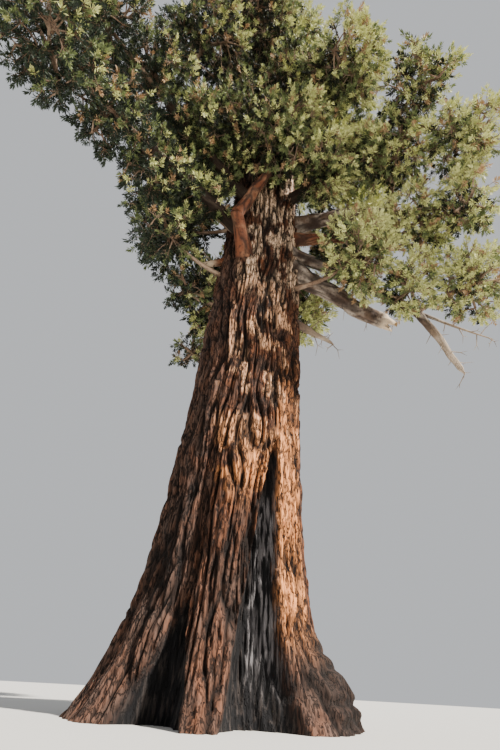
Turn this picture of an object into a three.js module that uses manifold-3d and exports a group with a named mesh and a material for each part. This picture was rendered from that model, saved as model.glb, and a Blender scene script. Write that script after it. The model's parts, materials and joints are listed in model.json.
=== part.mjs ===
// A very old giant sequoia tree, 40 m tall, in millimetres with +Z up.
// The origin is at the middle of the flat cut at ground level. The tree is seen from the -Y side,
// with +X to the right, and bearings are turned from +X towards +Y, in degrees.
import * as THREE from 'three';
import { mergeVertices } from 'three/addons/utils/BufferGeometryUtils.js';
import Module from 'manifold-3d';

const wasm = await Module();
wasm.setup();

// Driving dimensions of the whole tree
const METRE = 1000;
const CROWN_TOP = 40 * METRE;
const CLEARANCE = 0.3;
const SEED = 1571;

// Trunk: a leaning, tapering bole on a flared foot
const TRUNK_TOP = 37600;
const TAPER_END = 37900;
const TAPER_POWER = 0.6;
const BOLE_RADIUS = 2000;
const FLARE_OUT = 1060;
const FLARE_HEIGHT = 1560;
const LEAN_RIGHT = 1440;
const LEAN_FORWARD = 3520;
const LEAN_HEIGHT = 25000;
const TRUNK_SIDES = 44;
const TRUNK_RINGS = 17;
const RING_CROWDING = 1.9;

// Folds of the bole: how many go round, how far they stand out and how they twist as they rise
const FOLDS = [
  { count: 11, out: 50, degreesAMetre: 1.6 },
  { count: 7, out: 35, degreesAMetre: -0.9 },
];
const FOLD_FADE = 26000;

// Buttresses of the foot: bearing, half width in degrees, how far out at the ground, how high they fade
const BUTTRESSES = [
  { bearing: 198, halfWidth: 20, out: 170, fade: 1500 },
  { bearing: 222, halfWidth: 9, out: 180, fade: 3200 },
  { bearing: 271, halfWidth: 13, out: 300, fade: 2300 },
  { bearing: 318, halfWidth: 10, out: 200, fade: 1200 },
  { bearing: 22, halfWidth: 15, out: 330, fade: 1900 },
  { bearing: 66, halfWidth: 14, out: 260, fade: 2600 },
  { bearing: 112, halfWidth: 16, out: 400, fade: 1700 },
  { bearing: 158, halfWidth: 14, out: 300, fade: 2200 },
];

// Burls: bearing, half width in degrees, height of the middle, half height, how far out
const BURLS = [
  { bearing: 344, halfWidth: 22, height: 560, halfHeight: 850, out: 560 },
  { bearing: 274, halfWidth: 9, height: 2850, halfHeight: 520, out: 130 },
  { bearing: 92, halfWidth: 18, height: 900, halfHeight: 700, out: 260 },
];

// Long creases of the bark: bearing, half width in degrees, depth, height of the middle, half height
const CREASES = [
  { bearing: 248, halfWidth: 7, depth: 260, height: 3600, halfHeight: 2600 },
  { bearing: 185, halfWidth: 7, depth: 160, height: 2600, halfHeight: 2200 },
  { bearing: 45, halfWidth: 7, depth: 220, height: 2800, halfHeight: 2600 },
  { bearing: 135, halfWidth: 7, depth: 200, height: 2400, halfHeight: 2400 },
];

// Hollows burnt into the foot: they run up from the ground and close to a point. Bearings and depths
// are those at the ground and at the point
const FIRE_SCAR = {
  bearings: [292, 303], halfWidth: 17, narrowing: 0.65, height: 6200, depths: [950, 350],
};
const LOW_SCAR = {
  bearings: [248, 249], halfWidth: 17, narrowing: 0.8, height: 2300, depths: [800, 250],
};
const SCAR_FLOOR = -100;
const SCAR_OUTSIDE = 600;
const SCAR_BACK_WIDTH = 0.4;
const SCAR_LEAST_WIDTH = 0.6;
const SCAR_BANDS = 6;

// Boughs: bearing and height of the foot on the trunk, or the bough that each grows on from, then the
// place of the tip, the radii at foot and tip, and how far the middle is raised
const BOUGH_SIDES = 6;
const BOUGH_RINGS = 3;
const BOUGH_SUNK = 350;
const COLLAR_SHARE = 0.5;
const COLLAR_LENGTH = 450;
const BOUGHS = [
  { name: 'limb_stub_right', foot: [343, 11400], tip: [3900, 400, 12200], radii: [190, 55], arch: 60 },
  { name: 'limb_broken_right', foot: [350, 14150], tip: [6400, 50, 13100], radii: [390, 310], arch: -250 },
  { name: 'limb_great_right', foot: [352, 16900], tip: [5800, -2900, 16700], radii: [350, 230], arch: 350 },
  { name: 'limb_pale_right', foot: [340, 15750], tip: [5500, -2100, 15900], radii: [250, 170], arch: 150 },
  {
    name: 'limb_front_lower', foot: [249, 13300], tip: [-340, -3650, 14800], radii: [290, 260], arch: -200,
  },
  {
    name: 'limb_front_upper', from: 'limb_front_lower',
    tip: [950, -3850, 17900], radii: [255, 170], arch: 250,
  },
  { name: 'limb_stub_left', foot: [197, 14400], tip: [-1750, -1900, 13950], radii: [160, 95], arch: -60 },
  { name: 'limb_long_right', foot: [335, 14900], tip: [7000, -950, 13000], radii: [250, 175], arch: 250 },
  {
    name: 'limb_hanging_right', from: 'limb_long_right',
    tip: [9050, 450, 11050], radii: [200, 110], arch: 250,
  },
  { name: 'limb_bare_right', from: 'limb_long_right', tip: [10500, 0, 12600], radii: [75, 22], arch: -150 },
  {
    name: 'limb_left_lower', foot: [232, 15300], tip: [-3600, -5900, 15400], radii: [260, 165], arch: -100,
  },
  {
    name: 'limb_left_upper', foot: [228, 17600], tip: [-3400, -6100, 18500], radii: [240, 160], arch: -200,
  },
  { name: 'limb_high_left', foot: [245, 21000], tip: [-1300, -5300, 24000], radii: [210, 145], arch: -200 },
  { name: 'limb_high_right', foot: [302, 19600], tip: [3000, -5600, 21600], radii: [220, 150], arch: -300 },
  { name: 'limb_far_right', foot: [330, 18000], tip: [5700, -5700, 18800], radii: [230, 150], arch: -450 },
];

// Masses of foliage by what carries them: bearing and reach from the trunk's axis, height of the heart
// and radius of the ball that each keeps to
const MASSES = {
  trunk: [
    { name: 'foliage_left_low', bearing: 204, reach: 3900, height: 14300, ball: 1500 },
    { name: 'foliage_left_under', bearing: 173, reach: 2800, height: 13300, ball: 1250 },
    { name: 'foliage_left_lone', bearing: 139, reach: 3400, height: 11800, ball: 990 },
    { name: 'foliage_left_behind', bearing: 212, reach: 3100, height: 16500, ball: 1580 },
    { name: 'foliage_front_left', bearing: 250, reach: 3000, height: 19800, ball: 2050 },
    { name: 'foliage_front_right', bearing: 284, reach: 3000, height: 24000, ball: 1990 },
    { name: 'foliage_right_under', bearing: 342, reach: 3900, height: 14000, ball: 1950 },
  ],
  limb_left_lower: [
    { name: 'foliage_left_outer', bearing: 226, reach: 9400, height: 15200, ball: 1990 },
    { name: 'foliage_left_middle', bearing: 222, reach: 7300, height: 15700, ball: 1700 },
    { name: 'foliage_left_inner', bearing: 218, reach: 5300, height: 15200, ball: 1640 },
  ],
  limb_left_upper: [
    { name: 'foliage_left_top', bearing: 225, reach: 9000, height: 19500, ball: 2110 },
    { name: 'foliage_left_high', bearing: 225, reach: 6600, height: 19600, ball: 1990 },
    { name: 'foliage_left_near', bearing: 226, reach: 4200, height: 18700, ball: 1870 },
  ],
  limb_high_left: [
    { name: 'foliage_front_top', bearing: 257, reach: 4600, height: 26500, ball: 2340 },
    { name: 'foliage_front_high', bearing: 236, reach: 5500, height: 23200, ball: 2220 },
  ],
  limb_front_upper: [
    { name: 'foliage_front', bearing: 281, reach: 3100, height: 18700, ball: 2050 },
    { name: 'foliage_front_low', bearing: 314, reach: 3400, height: 17800, ball: 1760 },
  ],
  limb_high_right: [
    { name: 'foliage_right_top', bearing: 303, reach: 5300, height: 21600, ball: 2150 },
  ],
  limb_far_right: [
    { name: 'foliage_right_high', bearing: 320, reach: 7400, height: 19600, ball: 2050 },
    { name: 'foliage_right_far', bearing: 328, reach: 8100, height: 16500, ball: 1750 },
  ],
  limb_great_right: [
    { name: 'foliage_right_middle', bearing: 330, reach: 5900, height: 17800, ball: 1930 },
    { name: 'foliage_right_low', bearing: 344, reach: 6400, height: 15400, ball: 1760 },
    { name: 'foliage_right_tip', bearing: 335, reach: 7800, height: 14300, ball: 1330 },
  ],
  limb_long_right: [
    { name: 'foliage_right_inner', bearing: 352, reach: 5800, height: 13000, ball: 1600 },
    { name: 'foliage_right_outer', bearing: 350, reach: 7900, height: 12700, ball: 1750 },
  ],
};

// Tiers of masses at the back and round the top, all carried by the trunk
const TIERS = [
  { name: 'foliage_back_low', height: 16200, reach: 4000, ball: 2300, bearings: [60, 122], count: 3 },
  { name: 'foliage_back_middle', height: 18700, reach: 4500, ball: 2600, bearings: [15, 160], count: 3 },
  { name: 'foliage_back_high', height: 22400, reach: 4200, ball: 2700, bearings: [5, 175], count: 3 },
  { name: 'foliage_crown_low', height: 26900, reach: 3500, ball: 2900, bearings: [-10, 150], count: 3 },
  { name: 'foliage_crown_middle', height: 31000, reach: 2400, ball: 2800, bearings: [30, 270], count: 3 },
  { name: 'foliage_crown_high', height: 34800, reach: 1700, ball: 2600, bearings: [90, 330], count: 3 },
];
const LEADER = { name: 'foliage_crown_top', bearing: 0, reach: 0, height: 38200, ball: 2350 };

// The rule by which a mass grows
const STEM_SIDES = 3;
const STEM_RINGS = 2;
const STEM_RISE = 0.28;
const STEM_FOOT_RADIUS = 70;
const STEM_RADIUS_GAIN = 0.018;
const STEM_TIP_RADIUS = 45;
const STEM_SIDE_STEP = 0.5;
const STEM_ELBOW_SHARE = 0.6;
const TWIG_COUNT = 8;
const TWIG_FOOT_RADIUS = 60;
const TWIG_TIP_RADIUS = 34;
const TWIG_REACH = 0.58;
const TWIG_FEET = [0.9, 1];
const TWIG_LEAST_ONWARD = -0.55;
const SPRAYS_PER_MASS = 9;
const SPRAY_LENGTH = 0.62;
const SPRAY_SHORTENING = [1, 0.9, 0.8, 0.7, 0.6];
const SPRAY_THICKNESS = 0.12;
const SPRAY_SUNK = 14;
const TOOTH_SWEEP = 0.2;
const SIDE_SPRAY_PLACES = [0.95, 0.84];
const SIDE_SPRAY_ANGLE = 66;
const SPRAY_OUTLINE = [[1, 0], [0.56, 0.15], [0.68, 0.42], [0, 0], [0.68, -0.42], [0.56, -0.15]];
const SPRAY_MIDDLE = 0.34;
const CORE_SHARE = 0.58;
const CORE_UNEVEN = 0.14;
const CORE_LEAST_SHARE = 0.2;
const CORE_STEP = 0.05;
const MASS_FLATNESS = 0.9;
const SPACE_MARGIN = 8;
const TRUNK_MARGIN = 40;
const GOLDEN_ANGLE = Math.PI * (3 - Math.sqrt(5));
const SPRAY_UNDERSIDE = THREE.ShapeUtils.triangulateShape(
  SPRAY_OUTLINE.map(([forward, aside]) => new THREE.Vector2(forward, aside)),
  [],
);

const BARK = new THREE.MeshStandardMaterial({ color: 0x8a5436, roughness: 0.95, metalness: 0 });
const LIMB_BARK = new THREE.MeshStandardMaterial({ color: 0x7a5a42, roughness: 0.95, metalness: 0 });
const NEEDLES = new THREE.MeshStandardMaterial({ color: 0x5c6b34, roughness: 0.85, metalness: 0 });

// Helpers for numbers and places

const radians = THREE.MathUtils.degToRad;
const blend = THREE.MathUtils.lerp;
const UP = new THREE.Vector3(0, 0, 1);
const NEAR_UPRIGHT = 0.95;

function bell(offset, halfWidth) {
  return Math.exp(-((offset / halfWidth) ** 2));
}

function turnBetween(a, b) {
  return ((a - b + 540) % 360) - 180;
}

function outward(bearing) {
  return new THREE.Vector3(Math.cos(radians(bearing)), Math.sin(radians(bearing)), 0);
}

function seededRandom(seed) {
  let state = seed >>> 0;
  return () => {
    state = (state + 0x6d2b79f5) >>> 0;
    let mixed = Math.imul(state ^ (state >>> 15), 1 | state);
    mixed = (mixed + Math.imul(mixed ^ (mixed >>> 7), 61 | mixed)) ^ mixed;
    return ((mixed ^ (mixed >>> 14)) >>> 0) / 4294967296;
  };
}

// Helpers for solids

function solidOf(geometry) {
  geometry.deleteAttribute('normal');
  geometry.deleteAttribute('uv');
  const merged = mergeVertices(geometry, 1e-5);
  const vertProperties = new Float32Array(merged.attributes.position.array);
  const triVerts = new Uint32Array(merged.index.array);
  return new wasm.Manifold(new wasm.Mesh({ numProp: 3, vertProperties, triVerts }));
}

function reshape(geometry, move) {
  const position = geometry.attributes.position;
  const point = new THREE.Vector3();
  for (let i = 0; i < position.count; i += 1) {
    move(point.fromBufferAttribute(position, i));
    position.setXYZ(i, point.x, point.y, point.z);
  }
  return geometry;
}

function solidFrom(corners, faces) {
  const vertProperties = new Float32Array(corners.flatMap((corner) => corner.toArray()));
  return new wasm.Manifold(new wasm.Mesh({ numProp: 3, vertProperties, triVerts: new Uint32Array(faces) }));
}

function outerBody(solid) {
  const bodies = solid.decompose().sort((a, b) => b.volume() - a.volume());
  return bodies[0];
}

function meshOf(name, solid, material) {
  const { vertProperties, triVerts } = solid.getMesh();
  const geometry = new THREE.BufferGeometry();
  geometry.setAttribute('position', new THREE.BufferAttribute(vertProperties, 3));
  geometry.setIndex(new THREE.BufferAttribute(triVerts, 1));
  geometry.computeVertexNormals();
  const mesh = new THREE.Mesh(geometry, material);
  mesh.name = name;
  return mesh;
}

// An upright cylinder of radius 1 and height 1 whose foot is at zero, ready to be reshaped
function unitRod(sides, rings) {
  return new THREE.CylinderGeometry(1, 1, 1, sides, rings).rotateX(Math.PI / 2).translate(0, 0, 0.5);
}

// A tapering rod along a curve; growth makes it thicker and longer for cutting clearances
function rodAlong(curve, radiusAt, sides, rings, growth = 0) {
  const side = new THREE.Vector3();
  const over = new THREE.Vector3();
  return solidOf(reshape(unitRod(sides, rings), (point) => {
    const along = curve.getTangentAt(point.z);
    side.crossVectors(Math.abs(along.z) > NEAR_UPRIGHT ? new THREE.Vector3(1, 0, 0) : UP, along).normalize();
    over.crossVectors(along, side);
    const { x, y, z } = point;
    const radius = radiusAt(z) + growth;
    point.copy(curve.getPointAt(z))
      .addScaledVector(side, x * radius)
      .addScaledVector(over, y * radius)
      .addScaledVector(along, growth * (2 * z - 1));
  }));
}

function growthFor(sides) {
  return CLEARANCE / Math.cos(Math.PI / sides);
}

// Trunk

function trunkAxis(height) {
  const share = 1 - Math.exp(-height / LEAN_HEIGHT);
  return new THREE.Vector3(LEAN_RIGHT * share, -LEAN_FORWARD * share, height);
}

function trunkRadius(bearing, height) {
  let radius = BOLE_RADIUS * Math.max(0, 1 - height / TAPER_END) ** TAPER_POWER;
  radius += FLARE_OUT * Math.exp(-height / FLARE_HEIGHT);
  for (const { count, out, degreesAMetre } of FOLDS) {
    const twisted = bearing - degreesAMetre * (height / METRE);
    radius += out * Math.exp(-height / FOLD_FADE) * Math.cos(radians(count * twisted));
  }
  for (const { bearing: middle, halfWidth, out, fade } of BUTTRESSES) {
    radius += out * Math.exp(-height / fade) * bell(turnBetween(bearing, middle), halfWidth);
  }
  for (const { bearing: middle, halfWidth, height: level, halfHeight, out } of BURLS) {
    radius += out * bell(turnBetween(bearing, middle), halfWidth) * bell(height - level, halfHeight);
  }
  for (const { bearing: middle, halfWidth, depth, height: level, halfHeight } of CREASES) {
    radius -= depth * bell(turnBetween(bearing, middle), halfWidth) * bell(height - level, halfHeight);
  }
  return radius;
}

function trunkPoint(bearing, height, beyond = 0) {
  return trunkAxis(height).addScaledVector(outward(bearing), trunkRadius(bearing, height) + beyond);
}

function wholeTrunk(growth = 0) {
  return solidOf(reshape(unitRod(TRUNK_SIDES, TRUNK_RINGS), (point) => {
    const bearing = THREE.MathUtils.radToDeg(Math.atan2(point.y, point.x));
    const share = Math.hypot(point.x, point.y);
    const height = TRUNK_TOP * point.z ** RING_CROWDING;
    const radius = share * (trunkRadius(bearing, height) + growth);
    point.copy(trunkAxis(height)).addScaledVector(outward(bearing), radius);
    point.z += growth * (point.z > 0 ? 1 : 0);
  }));
}

function scarHollow({ bearings, halfWidth, narrowing, height, depths }) {
  const block = new THREE.BoxGeometry(2, 1, 1, 2, 1, SCAR_BANDS).translate(0, 0.5, 0.5);
  return solidOf(reshape(block, (point) => {
    const { x: across, y: out, z: up } = point;
    const level = blend(SCAR_FLOOR, height, up);
    const width = Math.max(SCAR_LEAST_WIDTH, halfWidth * (1 - up) ** narrowing);
    const bearing = blend(...bearings, up) - across * width * blend(SCAR_BACK_WIDTH, 1, out);
    const beyond = blend(-blend(...depths, up), SCAR_OUTSIDE, out);
    point.copy(trunkPoint(bearing, Math.max(0, level), beyond)).setZ(level);
  }));
}

function scarredTrunk() {
  return outerBody(wholeTrunk().subtract(scarHollow(FIRE_SCAR)).subtract(scarHollow(LOW_SCAR)));
}

// Boughs

function archedCurve(start, end, arch) {
  const middle = start.clone().lerp(end, 0.5);
  middle.z += arch;
  return new THREE.QuadraticBezierCurve3(start, middle, end);
}

function boughCurve({ foot, from, tip, arch }, curves) {
  const start = from ? curves.get(from).getPointAt(1) : trunkPoint(...foot, -BOUGH_SUNK);
  return archedCurve(start, new THREE.Vector3(...tip), arch);
}

function boughRadius({ radii: [foot, tip], from }, length) {
  const collar = from ? 0 : COLLAR_SHARE * foot;
  return (share) => blend(foot, tip, share) + collar * Math.exp(-(share * length) / COLLAR_LENGTH);
}

// Masses of foliage

function tierMasses({ name, bearings, count, ...sizes }) {
  return Array.from({ length: count }, (_, i) => {
    const bearing = blend(...bearings, i / (count - 1));
    return { ...sizes, name: `${name}_${i + 1}`, carrier: 'trunk', bearing };
  });
}

function allMasses() {
  const carried = Object.entries(MASSES)
    .flatMap(([carrier, list]) => list.map((mass) => ({ ...mass, carrier })));
  return [...carried, ...TIERS.flatMap(tierMasses), { ...LEADER, carrier: 'trunk' }];
}

function heartOf({ bearing, reach, height }) {
  return trunkAxis(height).addScaledVector(outward(bearing), reach);
}

// Squared distance to a heart less the ball's own square; the lowest of all hearts owns the point
function claimOn(point, { heart, ball }) {
  const dz = (point.z - heart.z) / MASS_FLATNESS;
  return (point.x - heart.x) ** 2 + (point.y - heart.y) ** 2 + dz ** 2 - ball ** 2;
}

function keepsToSpace(point, mass, neighbours) {
  const claim = claimOn(point, mass);
  if (claim > 0 || point.z > CROWN_TOP) {
    return false;
  }
  const height = THREE.MathUtils.clamp(point.z, 0, TRUNK_TOP);
  const axis = trunkAxis(height);
  const bearing = THREE.MathUtils.radToDeg(Math.atan2(point.y - axis.y, point.x - axis.x));
  const distance = Math.hypot(point.x - axis.x, point.y - axis.y);
  if (point.z < TRUNK_TOP + TRUNK_MARGIN && distance < trunkRadius(bearing, height) + TRUNK_MARGIN) {
    return false;
  }
  return neighbours.every((other) => {
    const room = 2 * SPACE_MARGIN * other.heart.distanceTo(mass.heart);
    return claim + room < claimOn(point, other);
  });
}

function stemCurve(mass, curves) {
  if (mass.reach === 0) {
    return archedCurve(trunkAxis(TRUNK_TOP - BOUGH_SUNK), mass.heart, 0);
  }
  if (mass.carrier === 'trunk') {
    const height = mass.height - STEM_RISE * mass.reach;
    const start = trunkPoint(mass.bearing, height, -BOUGH_SUNK);
    const elbow = new THREE.Vector3().lerpVectors(start, mass.heart, STEM_ELBOW_SHARE).setZ(height);
    return new THREE.QuadraticBezierCurve3(start, elbow, mass.heart);
  }
  const bough = curves.get(mass.carrier);
  const along = bough.getTangentAt(1);
  const aside = mass.heart.clone().sub(bough.getPointAt(1));
  aside.addScaledVector(along, -aside.dot(along)).normalize();
  const start = bough.getPointAt(1).addScaledVector(aside, STEM_SIDE_STEP * mass.boughTipRadius);
  start.addScaledVector(along, -STEM_FOOT_RADIUS);
  return archedCurve(start, mass.heart, 0);
}

function stemRadius(length) {
  const foot = STEM_FOOT_RADIUS + STEM_RADIUS_GAIN * length;
  return (share) => blend(foot, STEM_TIP_RADIUS, Math.sqrt(share));
}

function twigDirections(random) {
  const turn = random() * 2 * Math.PI;
  return Array.from({ length: TWIG_COUNT }, (_, i) => {
    const z = 1 - (2 * i + 1) / TWIG_COUNT;
    const flat = Math.sqrt(1 - z * z);
    const angle = turn + i * GOLDEN_ANGLE;
    return new THREE.Vector3(flat * Math.cos(angle), flat * Math.sin(angle), z);
  });
}

// The corners of one toothed spray: its flat outline, then the ridge point over its middle
function sprayCorners(root, direction, across, length) {
  const over = new THREE.Vector3().crossVectors(direction, across).normalize();
  const corners = SPRAY_OUTLINE.map(([forward, aside]) => root.clone()
    .addScaledVector(direction, forward * length)
    .addScaledVector(across, aside * length));
  const middle = root.clone().addScaledVector(direction, SPRAY_MIDDLE * length);
  corners.push(middle.addScaledVector(over, SPRAY_THICKNESS * length));
  return corners;
}

function spraySolid(corners) {
  const rim = SPRAY_OUTLINE.length;
  const faces = SPRAY_UNDERSIDE.flatMap(([a, b, c]) => [a, c, b]);
  for (let i = 0; i < rim; i += 1) {
    faces.push(rim, i, (i + 1) % rim);
  }
  return solidFrom(corners, faces);
}

function coreSolid(mass, neighbours, random) {
  const ball = new THREE.IcosahedronGeometry(CORE_SHARE * mass.ball, 0);
  const uneven = new Map();
  return solidOf(reshape(ball, (point) => {
    const key = point.toArray().map(Math.round).join();
    if (!uneven.has(key)) {
      uneven.set(key, 1 + CORE_UNEVEN * (2 * random() - 1));
    }
    const corner = point.clone().multiplyScalar(uneven.get(key));
    corner.z *= MASS_FLATNESS;
    let share = 1;
    point.copy(corner).add(mass.heart);
    while (share > CORE_LEAST_SHARE && !keepsToSpace(point, mass, neighbours)) {
      share -= CORE_STEP;
      point.copy(corner).multiplyScalar(share).add(mass.heart);
    }
  }));
}

// A twig that ends in a toothed blade: three corners a ring, closed flat at its foot, pointed at its tip
function bladedTwig(foot, neck, direction, across, length) {
  const over = new THREE.Vector3().crossVectors(direction, across).normalize();
  const ring = (middle, half, ridge) => [
    middle.clone().addScaledVector(across, half),
    middle.clone().addScaledVector(over, ridge),
    middle.clone().addScaledVector(across, -half),
  ];
  const ahead = (share) => neck.clone().addScaledVector(direction, share * length);
  const [[tipForward], [notchForward, notchHalf], [toothForward, toothHalf]] = SPRAY_OUTLINE;
  const ridge = SPRAY_THICKNESS * length;
  const corners = [
    ring(foot, TWIG_FOOT_RADIUS, TWIG_FOOT_RADIUS),
    ring(neck, TWIG_TIP_RADIUS, TWIG_TIP_RADIUS),
    ring(ahead(toothForward), toothHalf * length, ridge),
    ring(ahead(notchForward + TOOTH_SWEEP), notchHalf * length, ridge),
    ahead(tipForward),
  ].flat();
  const faces = [0, 2, 1];
  const tip = corners.length - 1;
  for (let a = 0; a < tip; a += 1) {
    const b = a % 3 === 2 ? a - 2 : a + 1;
    if (a + 3 < tip) {
      faces.push(a, b, b + 3, a, b + 3, a + 3);
    } else {
      faces.push(a, b, tip);
    }
  }
  return { solid: solidFrom(corners, faces), corners: corners.slice(3) };
}

function touches(solid, obstacles) {
  return obstacles.some((obstacle) => !solid.intersect(obstacle).isEmpty());
}

function sideways(direction, roll) {
  const level = new THREE.Vector3().crossVectors(UP, direction).normalize();
  const over = new THREE.Vector3().crossVectors(direction, level);
  return level.multiplyScalar(Math.cos(roll)).addScaledVector(over, Math.sin(roll));
}

// One spray on the side of a twig, in each of the lengths that it may be shortened to
function sideSpray(twig, share, turn, mass, random) {
  const direction = twig.getTangentAt(1);
  const roll = turn + random() * Math.PI;
  const heading = direction.clone().multiplyScalar(Math.cos(radians(SIDE_SPRAY_ANGLE)))
    .addScaledVector(sideways(direction, roll), Math.sin(radians(SIDE_SPRAY_ANGLE)));
  const root = twig.getPointAt(share).addScaledVector(heading, -SPRAY_SUNK);
  const across = sideways(heading, random() * Math.PI);
  const length = SPRAY_LENGTH * mass.ball;
  return SPRAY_SHORTENING.map((part) => sprayCorners(root, heading, across, part * length));
}

// The main twigs, each in the longest size that keeps to the mass's space; one that would point back
// along the stem or touch another limb is left out
function growTwigs(mass, inSpace, obstacles, random) {
  const onward = mass.curve.getTangentAt(1);
  const twigs = [];
  for (const direction of twigDirections(random)) {
    const foot = mass.curve.getPointAt(blend(...TWIG_FEET, random()));
    const neck = direction.clone().multiplyScalar(TWIG_REACH * mass.ball);
    neck.z *= MASS_FLATNESS;
    const curve = new THREE.LineCurve3(foot, neck.add(mass.heart));
    const heading = curve.getTangentAt(1);
    const across = sideways(heading, random() * Math.PI);
    const twig = SPRAY_SHORTENING
      .map((part) => bladedTwig(foot, neck, heading, across, part * SPRAY_LENGTH * mass.ball))
      .find(({ corners }) => corners.every(inSpace));
    if (direction.dot(onward) > TWIG_LEAST_ONWARD && twig && !touches(twig.solid, obstacles)) {
      twigs.push({ curve, solid: twig.solid });
    }
  }
  return twigs;
}

function growSideSprays(mass, twigs, inSpace, obstacles, random) {
  const sprays = [];
  SIDE_SPRAY_PLACES.forEach((share, rank) => {
    twigs.forEach((twig) => {
      const corners = sideSpray(twig.curve, share, rank * Math.PI, mass, random)
        .find((sized) => sized.every(inSpace));
      if (sprays.length + twigs.length < SPRAYS_PER_MASS && corners) {
        const solid = spraySolid(corners);
        const others = twigs.filter((other) => other !== twig).map((other) => other.solid);
        if (!touches(solid, [...others, ...sprays, ...obstacles])) {
          sprays.push(solid);
        }
      }
    });
  });
  return sprays;
}

function growMass(mass, neighbours, obstacles) {
  const random = seededRandom(SEED + mass.number);
  const inSpace = (point) => keepsToSpace(point, mass, neighbours);
  const core = obstacles.reduce(
    (solid, obstacle) => solid.subtract(obstacle),
    coreSolid(mass, neighbours, random),
  );
  const twigs = growTwigs(mass, inSpace, obstacles, random);
  const sprays = growSideSprays(mass, twigs, inSpace, obstacles, random);
  return outerBody(wasm.Manifold.union([mass.stem, core, ...twigs.map(({ solid }) => solid), ...sprays]));
}

// Assembly: what is placed later is cut clear of what is placed earlier

const tree = new THREE.Group();
tree.name = 'giant_sequoia_tree';
const placed = [];

function place(owner, rodOf, growth) {
  const solid = placed.reduce((rest, { cutter }) => rest.subtract(cutter), rodOf(0));
  placed.push({ owner, cutter: rodOf(growth) });
  return outerBody(solid);
}

tree.add(meshOf('trunk', scarredTrunk(), BARK));
placed.push({ owner: 'trunk', cutter: wholeTrunk(growthFor(TRUNK_SIDES)) });

const boughCurves = new Map();
for (const bough of BOUGHS) {
  const curve = boughCurve(bough, boughCurves);
  const radiusAt = boughRadius(bough, curve.getLength());
  const rodOf = (growth) => rodAlong(curve, radiusAt, BOUGH_SIDES, BOUGH_RINGS, growth);
  boughCurves.set(bough.name, curve);
  tree.add(meshOf(bough.name, place(bough.name, rodOf, growthFor(BOUGH_SIDES)), LIMB_BARK));
}

const masses = allMasses();
masses.forEach((mass, number) => {
  const bough = BOUGHS.find(({ name }) => name === mass.carrier);
  mass.number = number;
  mass.heart = heartOf(mass);
  mass.boughTipRadius = bough ? bough.radii[1] : 0;
  mass.curve = stemCurve(mass, boughCurves);
  const radiusAt = stemRadius(mass.curve.getLength());
  const rodOf = (growth) => rodAlong(mass.curve, radiusAt, STEM_SIDES, STEM_RINGS, growth);
  mass.stem = place(mass.name, rodOf, growthFor(STEM_SIDES));
});

for (const mass of masses) {
  const neighbours = masses.filter((other) => other !== mass
    && other.heart.distanceTo(mass.heart) < other.ball + mass.ball);
  const obstacles = placed.filter(({ owner }) => owner !== mass.name).map(({ cutter }) => cutter);
  tree.add(meshOf(mass.name, growMass(mass, neighbours, obstacles), NEEDLES));
}

export default tree;
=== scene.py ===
"""Dress the giant sequoia tree: ridged bark on the trunk and limbs, and sprays of needles in the crown.

Sizes are in metres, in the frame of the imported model: +Z is up, the ground is z = 0 and the tree is
seen from the -Y side. Bearings are turned from +X towards +Y, in degrees.
"""

import json
import logging
import math
from dataclasses import dataclass, field
from enum import Enum

import bmesh
import bpy
import numpy as np
from mathutils import Matrix, Vector

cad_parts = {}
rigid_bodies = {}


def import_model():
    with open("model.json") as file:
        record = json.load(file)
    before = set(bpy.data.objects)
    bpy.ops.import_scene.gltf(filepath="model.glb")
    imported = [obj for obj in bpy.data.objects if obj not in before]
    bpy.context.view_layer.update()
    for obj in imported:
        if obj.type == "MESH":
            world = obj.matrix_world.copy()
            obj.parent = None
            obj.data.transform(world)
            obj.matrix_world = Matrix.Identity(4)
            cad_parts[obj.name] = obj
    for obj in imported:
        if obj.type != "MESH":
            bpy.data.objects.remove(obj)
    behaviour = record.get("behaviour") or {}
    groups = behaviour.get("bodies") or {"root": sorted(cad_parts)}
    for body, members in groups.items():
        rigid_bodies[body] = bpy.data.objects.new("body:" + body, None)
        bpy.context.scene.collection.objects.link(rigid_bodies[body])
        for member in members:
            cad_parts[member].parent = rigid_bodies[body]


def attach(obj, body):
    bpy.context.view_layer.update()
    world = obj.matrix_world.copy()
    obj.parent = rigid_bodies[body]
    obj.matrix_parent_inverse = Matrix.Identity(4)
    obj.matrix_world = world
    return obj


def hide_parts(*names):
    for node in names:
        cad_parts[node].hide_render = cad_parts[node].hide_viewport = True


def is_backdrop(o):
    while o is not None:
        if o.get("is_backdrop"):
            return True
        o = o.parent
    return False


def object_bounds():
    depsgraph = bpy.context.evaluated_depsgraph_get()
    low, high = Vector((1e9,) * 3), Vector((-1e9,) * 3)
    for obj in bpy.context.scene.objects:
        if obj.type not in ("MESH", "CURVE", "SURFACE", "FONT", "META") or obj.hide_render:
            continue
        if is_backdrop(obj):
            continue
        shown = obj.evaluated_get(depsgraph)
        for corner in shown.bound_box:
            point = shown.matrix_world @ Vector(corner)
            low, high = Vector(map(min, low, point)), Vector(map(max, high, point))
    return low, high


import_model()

LOG = logging.getLogger("tree")

Array = np.ndarray
Draw = np.random.Generator
Material = bpy.types.Material
Mesh = bpy.types.Mesh
Socket = bpy.types.NodeSocket
Two = tuple[float, float]
Three = tuple[float, float, float]
Four = tuple[float, float, float, float]
Colour = Four

SEED = 1571
SEEDS_A_LIMB = 20
GOLDEN_ANGLE = math.pi * (3 - math.sqrt(5))
UP = np.array((0.0, 0.0, 1.0))
RIGHT = np.array((1.0, 0.0, 0.0))
STEEP = 0.95
SHORTEST = 1e-9


# Helpers for numbers and places


def bell(offset: Array, half_width: float) -> Array:
    """Rise to 1 where offset is 0 and fade to nothing a few half widths away."""
    return np.exp(-((offset / half_width) ** 2))


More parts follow.
